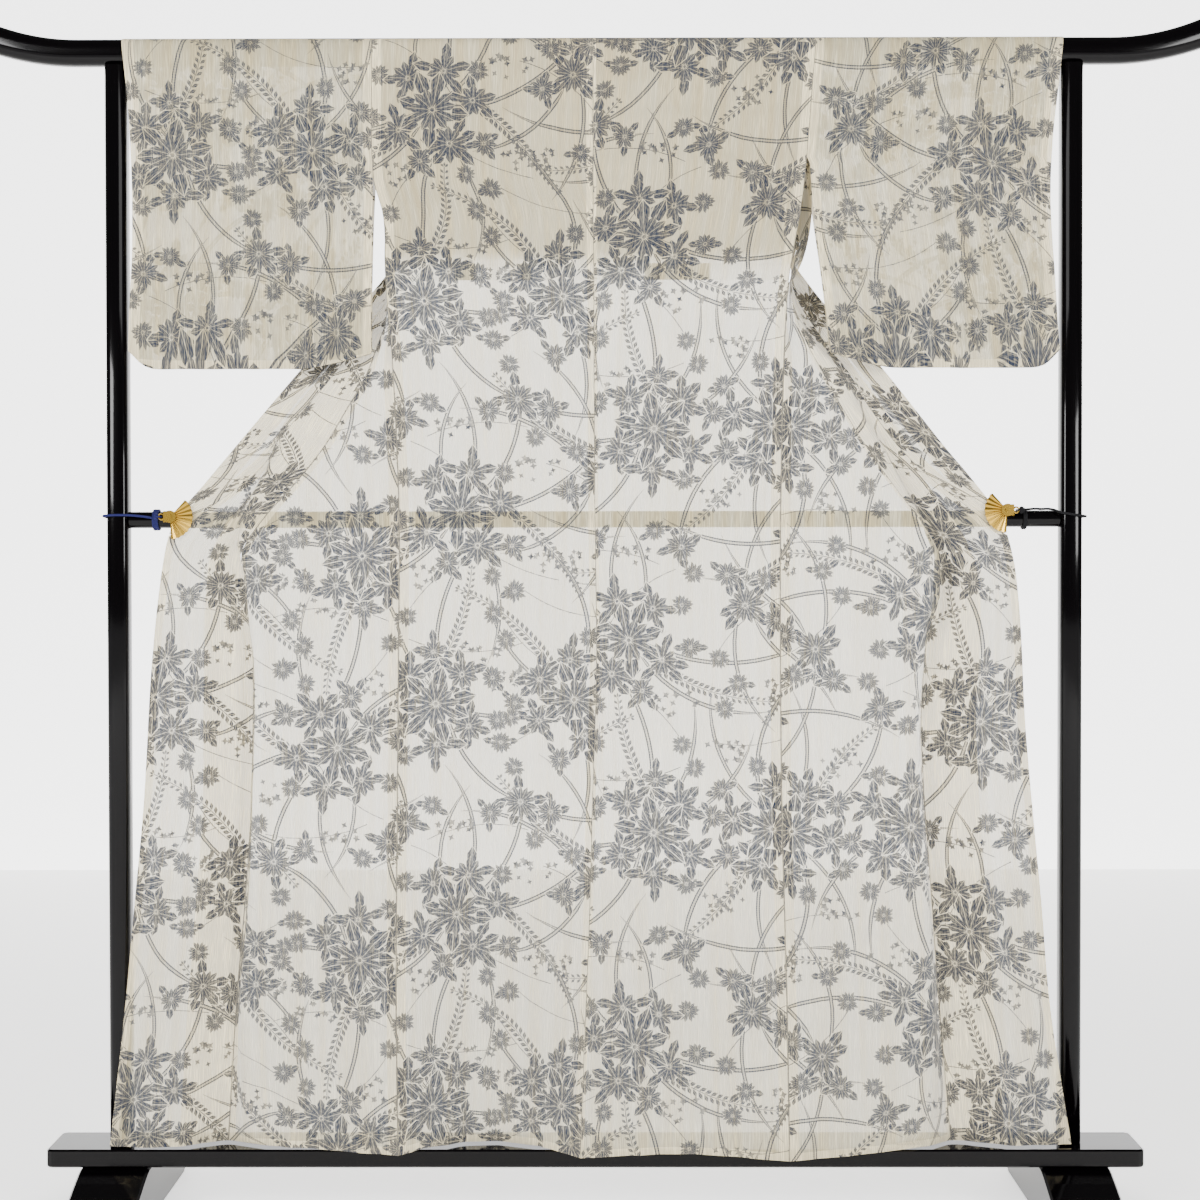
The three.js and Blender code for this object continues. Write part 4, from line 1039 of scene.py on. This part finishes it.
def simpleMaterial(name, colour, roughness, metallic=0.0, coat=0.0):
    material = bpy.data.materials.new(name)
    material.use_nodes = True
    tree = material.node_tree
    shader = tree.nodes["Principled BSDF"]
    shader.inputs["Metallic"].default_value = metallic
    shader.inputs["Coat Weight"].default_value = coat
    shader.inputs["Specular IOR Level"].default_value = 0.5 if metallic else 0.14
    shader.inputs["Coat Roughness"].default_value = 0.06
    place = tree.nodes.new("ShaderNodeTexCoord").outputs["Object"]
    patches = noise(tree, place, 9, 3, flat=False)
    tree.links.new(calc(tree, "MULTIPLY_ADD", patches, roughness * 0.4, roughness * 0.8),
                   shader.inputs["Roughness"])
    darker = tuple(c * 0.8 for c in colour[:3]) + (1,)
    tree.links.new(mixColour(tree, patches, colour, darker), shader.inputs["Base Color"])
    return material


lacquer = simpleMaterial("lacquer", srgb(4, 3, 4), 0.1, coat=0.05)
brass = simpleMaterial("brass", srgb(186, 150, 62), 0.26, metallic=1.0)
indigoCord = simpleMaterial("indigoCord", srgb(34, 36, 84), 0.8)
blackCord = simpleMaterial("blackCord", srgb(20, 20, 22), 0.8)


def superRing(wide, deep, power, count, place):
    angles = (np.arange(count) + 0.5) * 2 * math.pi / count
    cos, sin = np.cos(angles), np.sin(angles)
    u = wide / 2 * np.sign(cos) * np.abs(cos) ** (2 / power)
    v = deep / 2 * np.sign(sin) * np.abs(sin) ** (2 / power)
    return np.array([place(a, b) for a, b in zip(u, v)])


def lacquered(name, node, rings):
    # A smooth bar through rings of equal count, closed at both ends
    count = len(rings[0])
    faces = [list(range(count))[::-1]]
    for i in range(len(rings) - 1):
        for j in range(count):
            k = (j + 1) % count
            faces.append([i * count + j, i * count + k, (i + 1) * count + k, (i + 1) * count + j])
    faces.append(list(range((len(rings) - 1) * count, len(rings) * count)))
    mesh = bpy.data.meshes.new(name)
    mesh.from_pydata((np.vstack(rings) * mm).tolist(), [], faces)
    mesh.polygons.foreach_set("use_smooth", np.ones(len(faces), bool))
    mesh.set_sharp_from_angle(angle=math.radians(50))
    mesh.materials.append(lacquer)
    piece = bpy.data.objects.new(name, mesh)
    bpy.context.scene.collection.objects.link(piece)
    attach(piece, "root")
    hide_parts(node)


def addPosts():
    low, high = stand["beamTop"] + 0.3, stand["barMidZ"] - stand["barHigh"] / 2 - 0.2
    for hand, side in ((-1, "left"), (1, "right")):
        rings = []
        for z, inset in ((low, 1.2), (low + 1.2, 0), (high - 0.4, 0), (high, 0.4)):
            rings.append(superRing(stand["postWide"] - 2 * inset, stand["postDeep"] - 2 * inset,
                                   3.4, 72, lambda u, v: (hand * stand["postX"] + u, v, z)))
        lacquered("post" + side.title(), "post_" + side, rings)


def addTopBar():
    # The ends sweep up beyond riseFrom
    rings = []
    half, span = stand["barHalf"], stand["barHalf"] - stand["riseFrom"]
    xs = [-half, -half + 2, -half + 6, *np.linspace(-half + 16, -stand["riseFrom"], 18)]
    for x in xs + [-x for x in xs[::-1]]:
        over = max(0, abs(x) - stand["riseFrom"]) / span
        slope = 2 * stand["rise"] * over / span * math.copysign(1, x)
        inset = {0: 4.0, 2: 1.2}.get(round(half - abs(x)), 0)
        rings.append(superRing(
            stand["barDeep"] - 2 * inset, stand["barHigh"] - 2 * inset, stand["barRound"], 72,
            lambda u, v: (x - v * slope, u, stand["barMidZ"] + stand["rise"] * over ** 2 + v)))
    lacquered("topBar", "top_bar", rings)


def addCrossBar():
    reach = stand["postX"] - stand["postWide"] / 2 - 0.5
    rings = [superRing(stand["crossDia"], stand["crossDia"], 2, 48,
                       lambda u, v: (x, u, stand["crossZ"] + v)) for x in (-reach, reach)]
    lacquered("crossBar", "cross_bar", rings)


addPosts()
addTopBar()
addCrossBar()
nodeLooks = {
    lacquer: ["base_beam", "foot_left", "foot_right"], brass: ["clip_left", "clip_right"],
    indigoCord: ["tie_left"], blackCord: ["tie_right"],
}
for material, names in nodeLooks.items():
    for name in names:
        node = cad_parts[name]
        node.data.materials.clear()
        node.data.materials.append(material)
print("stand is finished")


# Floor, light and camera

view = {"place": (20.5, -2810.3, 933.8), "yaw": -0.245, "pitch": -0.914, "roll": -0.08,
        "lens": 58.13}


def addCamera():
    yaw, pitch, roll = (math.radians(view[k]) for k in ("yaw", "pitch", "roll"))
    ahead = Vector((math.sin(yaw) * math.cos(pitch), math.cos(yaw) * math.cos(pitch),
                    math.sin(pitch)))
    right = Vector((math.cos(yaw), -math.sin(yaw), 0))
    up = right.cross(ahead)
    right, up = (right * math.cos(roll) + up * math.sin(roll),
                 up * math.cos(roll) - right * math.sin(roll))
    data = bpy.data.cameras.new("camera")
    data.lens, data.sensor_width, data.sensor_fit = view["lens"], 36, "HORIZONTAL"
    data.clip_start, data.clip_end = 0.05, 60
    camera = bpy.data.objects.new("camera", data)
    turn = Matrix((right, up, -ahead)).transposed().to_4x4()
    camera.matrix_world = Matrix.Translation(Vector(view["place"]) * mm) @ turn
    bpy.context.scene.collection.objects.link(camera)
    bpy.context.scene.camera = camera


def addLight(name, place, target, size, power):
    data = bpy.data.lights.new(name, "AREA")
    data.shape, data.size, data.energy = "SQUARE", size, power
    light = bpy.data.objects.new(name, data)
    light.location = place
    way = Vector(target) - Vector(place)
    light.rotation_euler = way.to_track_quat("-Z", "Y").to_euler()
    bpy.context.scene.collection.objects.link(light)


def plainMaterial(name, colour, glow=0.0):
    material = bpy.data.materials.new(name)
    material.use_nodes = True
    shader = material.node_tree.nodes["Principled BSDF"]
    shader.inputs["Base Color"].default_value = colour
    shader.inputs["Roughness"].default_value = 0.9
    shader.inputs["Emission Color"].default_value = (1, 1, 1, 1)
    shader.inputs["Emission Strength"].default_value = glow
    return material


# Metres and glow of the paper floor and backdrop
studio = {"floorSize": 30, "floorDrop": 0.0005, "floorGlow": 1.1, "backY": 3.2, "backZ": 2.4,
          "backSize": (9, 5), "backGlow": 2.6, "air": 0.16}


def addStage():
    bpy.ops.mesh.primitive_plane_add(size=studio["floorSize"],
                                     location=(0, 0, -studio["floorDrop"]))
    floor = bpy.context.object
    floor.name = "floor"
    floor.data.materials.append(plainMaterial("floorPaper", srgb(245, 244, 242), studio["floorGlow"]))
    bpy.ops.mesh.primitive_plane_add(size=1, location=(0, studio["backY"], studio["backZ"]),
                                     rotation=(math.radians(90), 0, 0))
    backdrop = bpy.context.object
    backdrop.name = "backdrop"
    backdrop.scale = (*studio["backSize"], 1)
    backdrop.data.materials.append(
        plainMaterial("backdropPaper", srgb(250, 250, 250), studio["backGlow"]))
    world = bpy.data.worlds.new("studio")
    bpy.context.scene.world = world
    world.use_nodes = True
    background = world.node_tree.nodes["Background"]
    background.inputs["Color"].default_value = (1, 1, 1, 1)
    background.inputs["Strength"].default_value = studio["air"]


addCamera()
addStage()
# place, target, size and power of each soft light
for name, row in {
    "keyLight": ((-2.6, -3.4, 2.4), (0, 0, 0.9), 1.3, 190),
    "fillLight": ((2.6, -3.4, 1.9), (0, 0, 0.9), 1.3, 150),
    "topLight": ((0, -2.2, 3.6), (0, 0, 1.0), 1.6, 45),
}.items():
    addLight(name, *row)
print("stage is set")
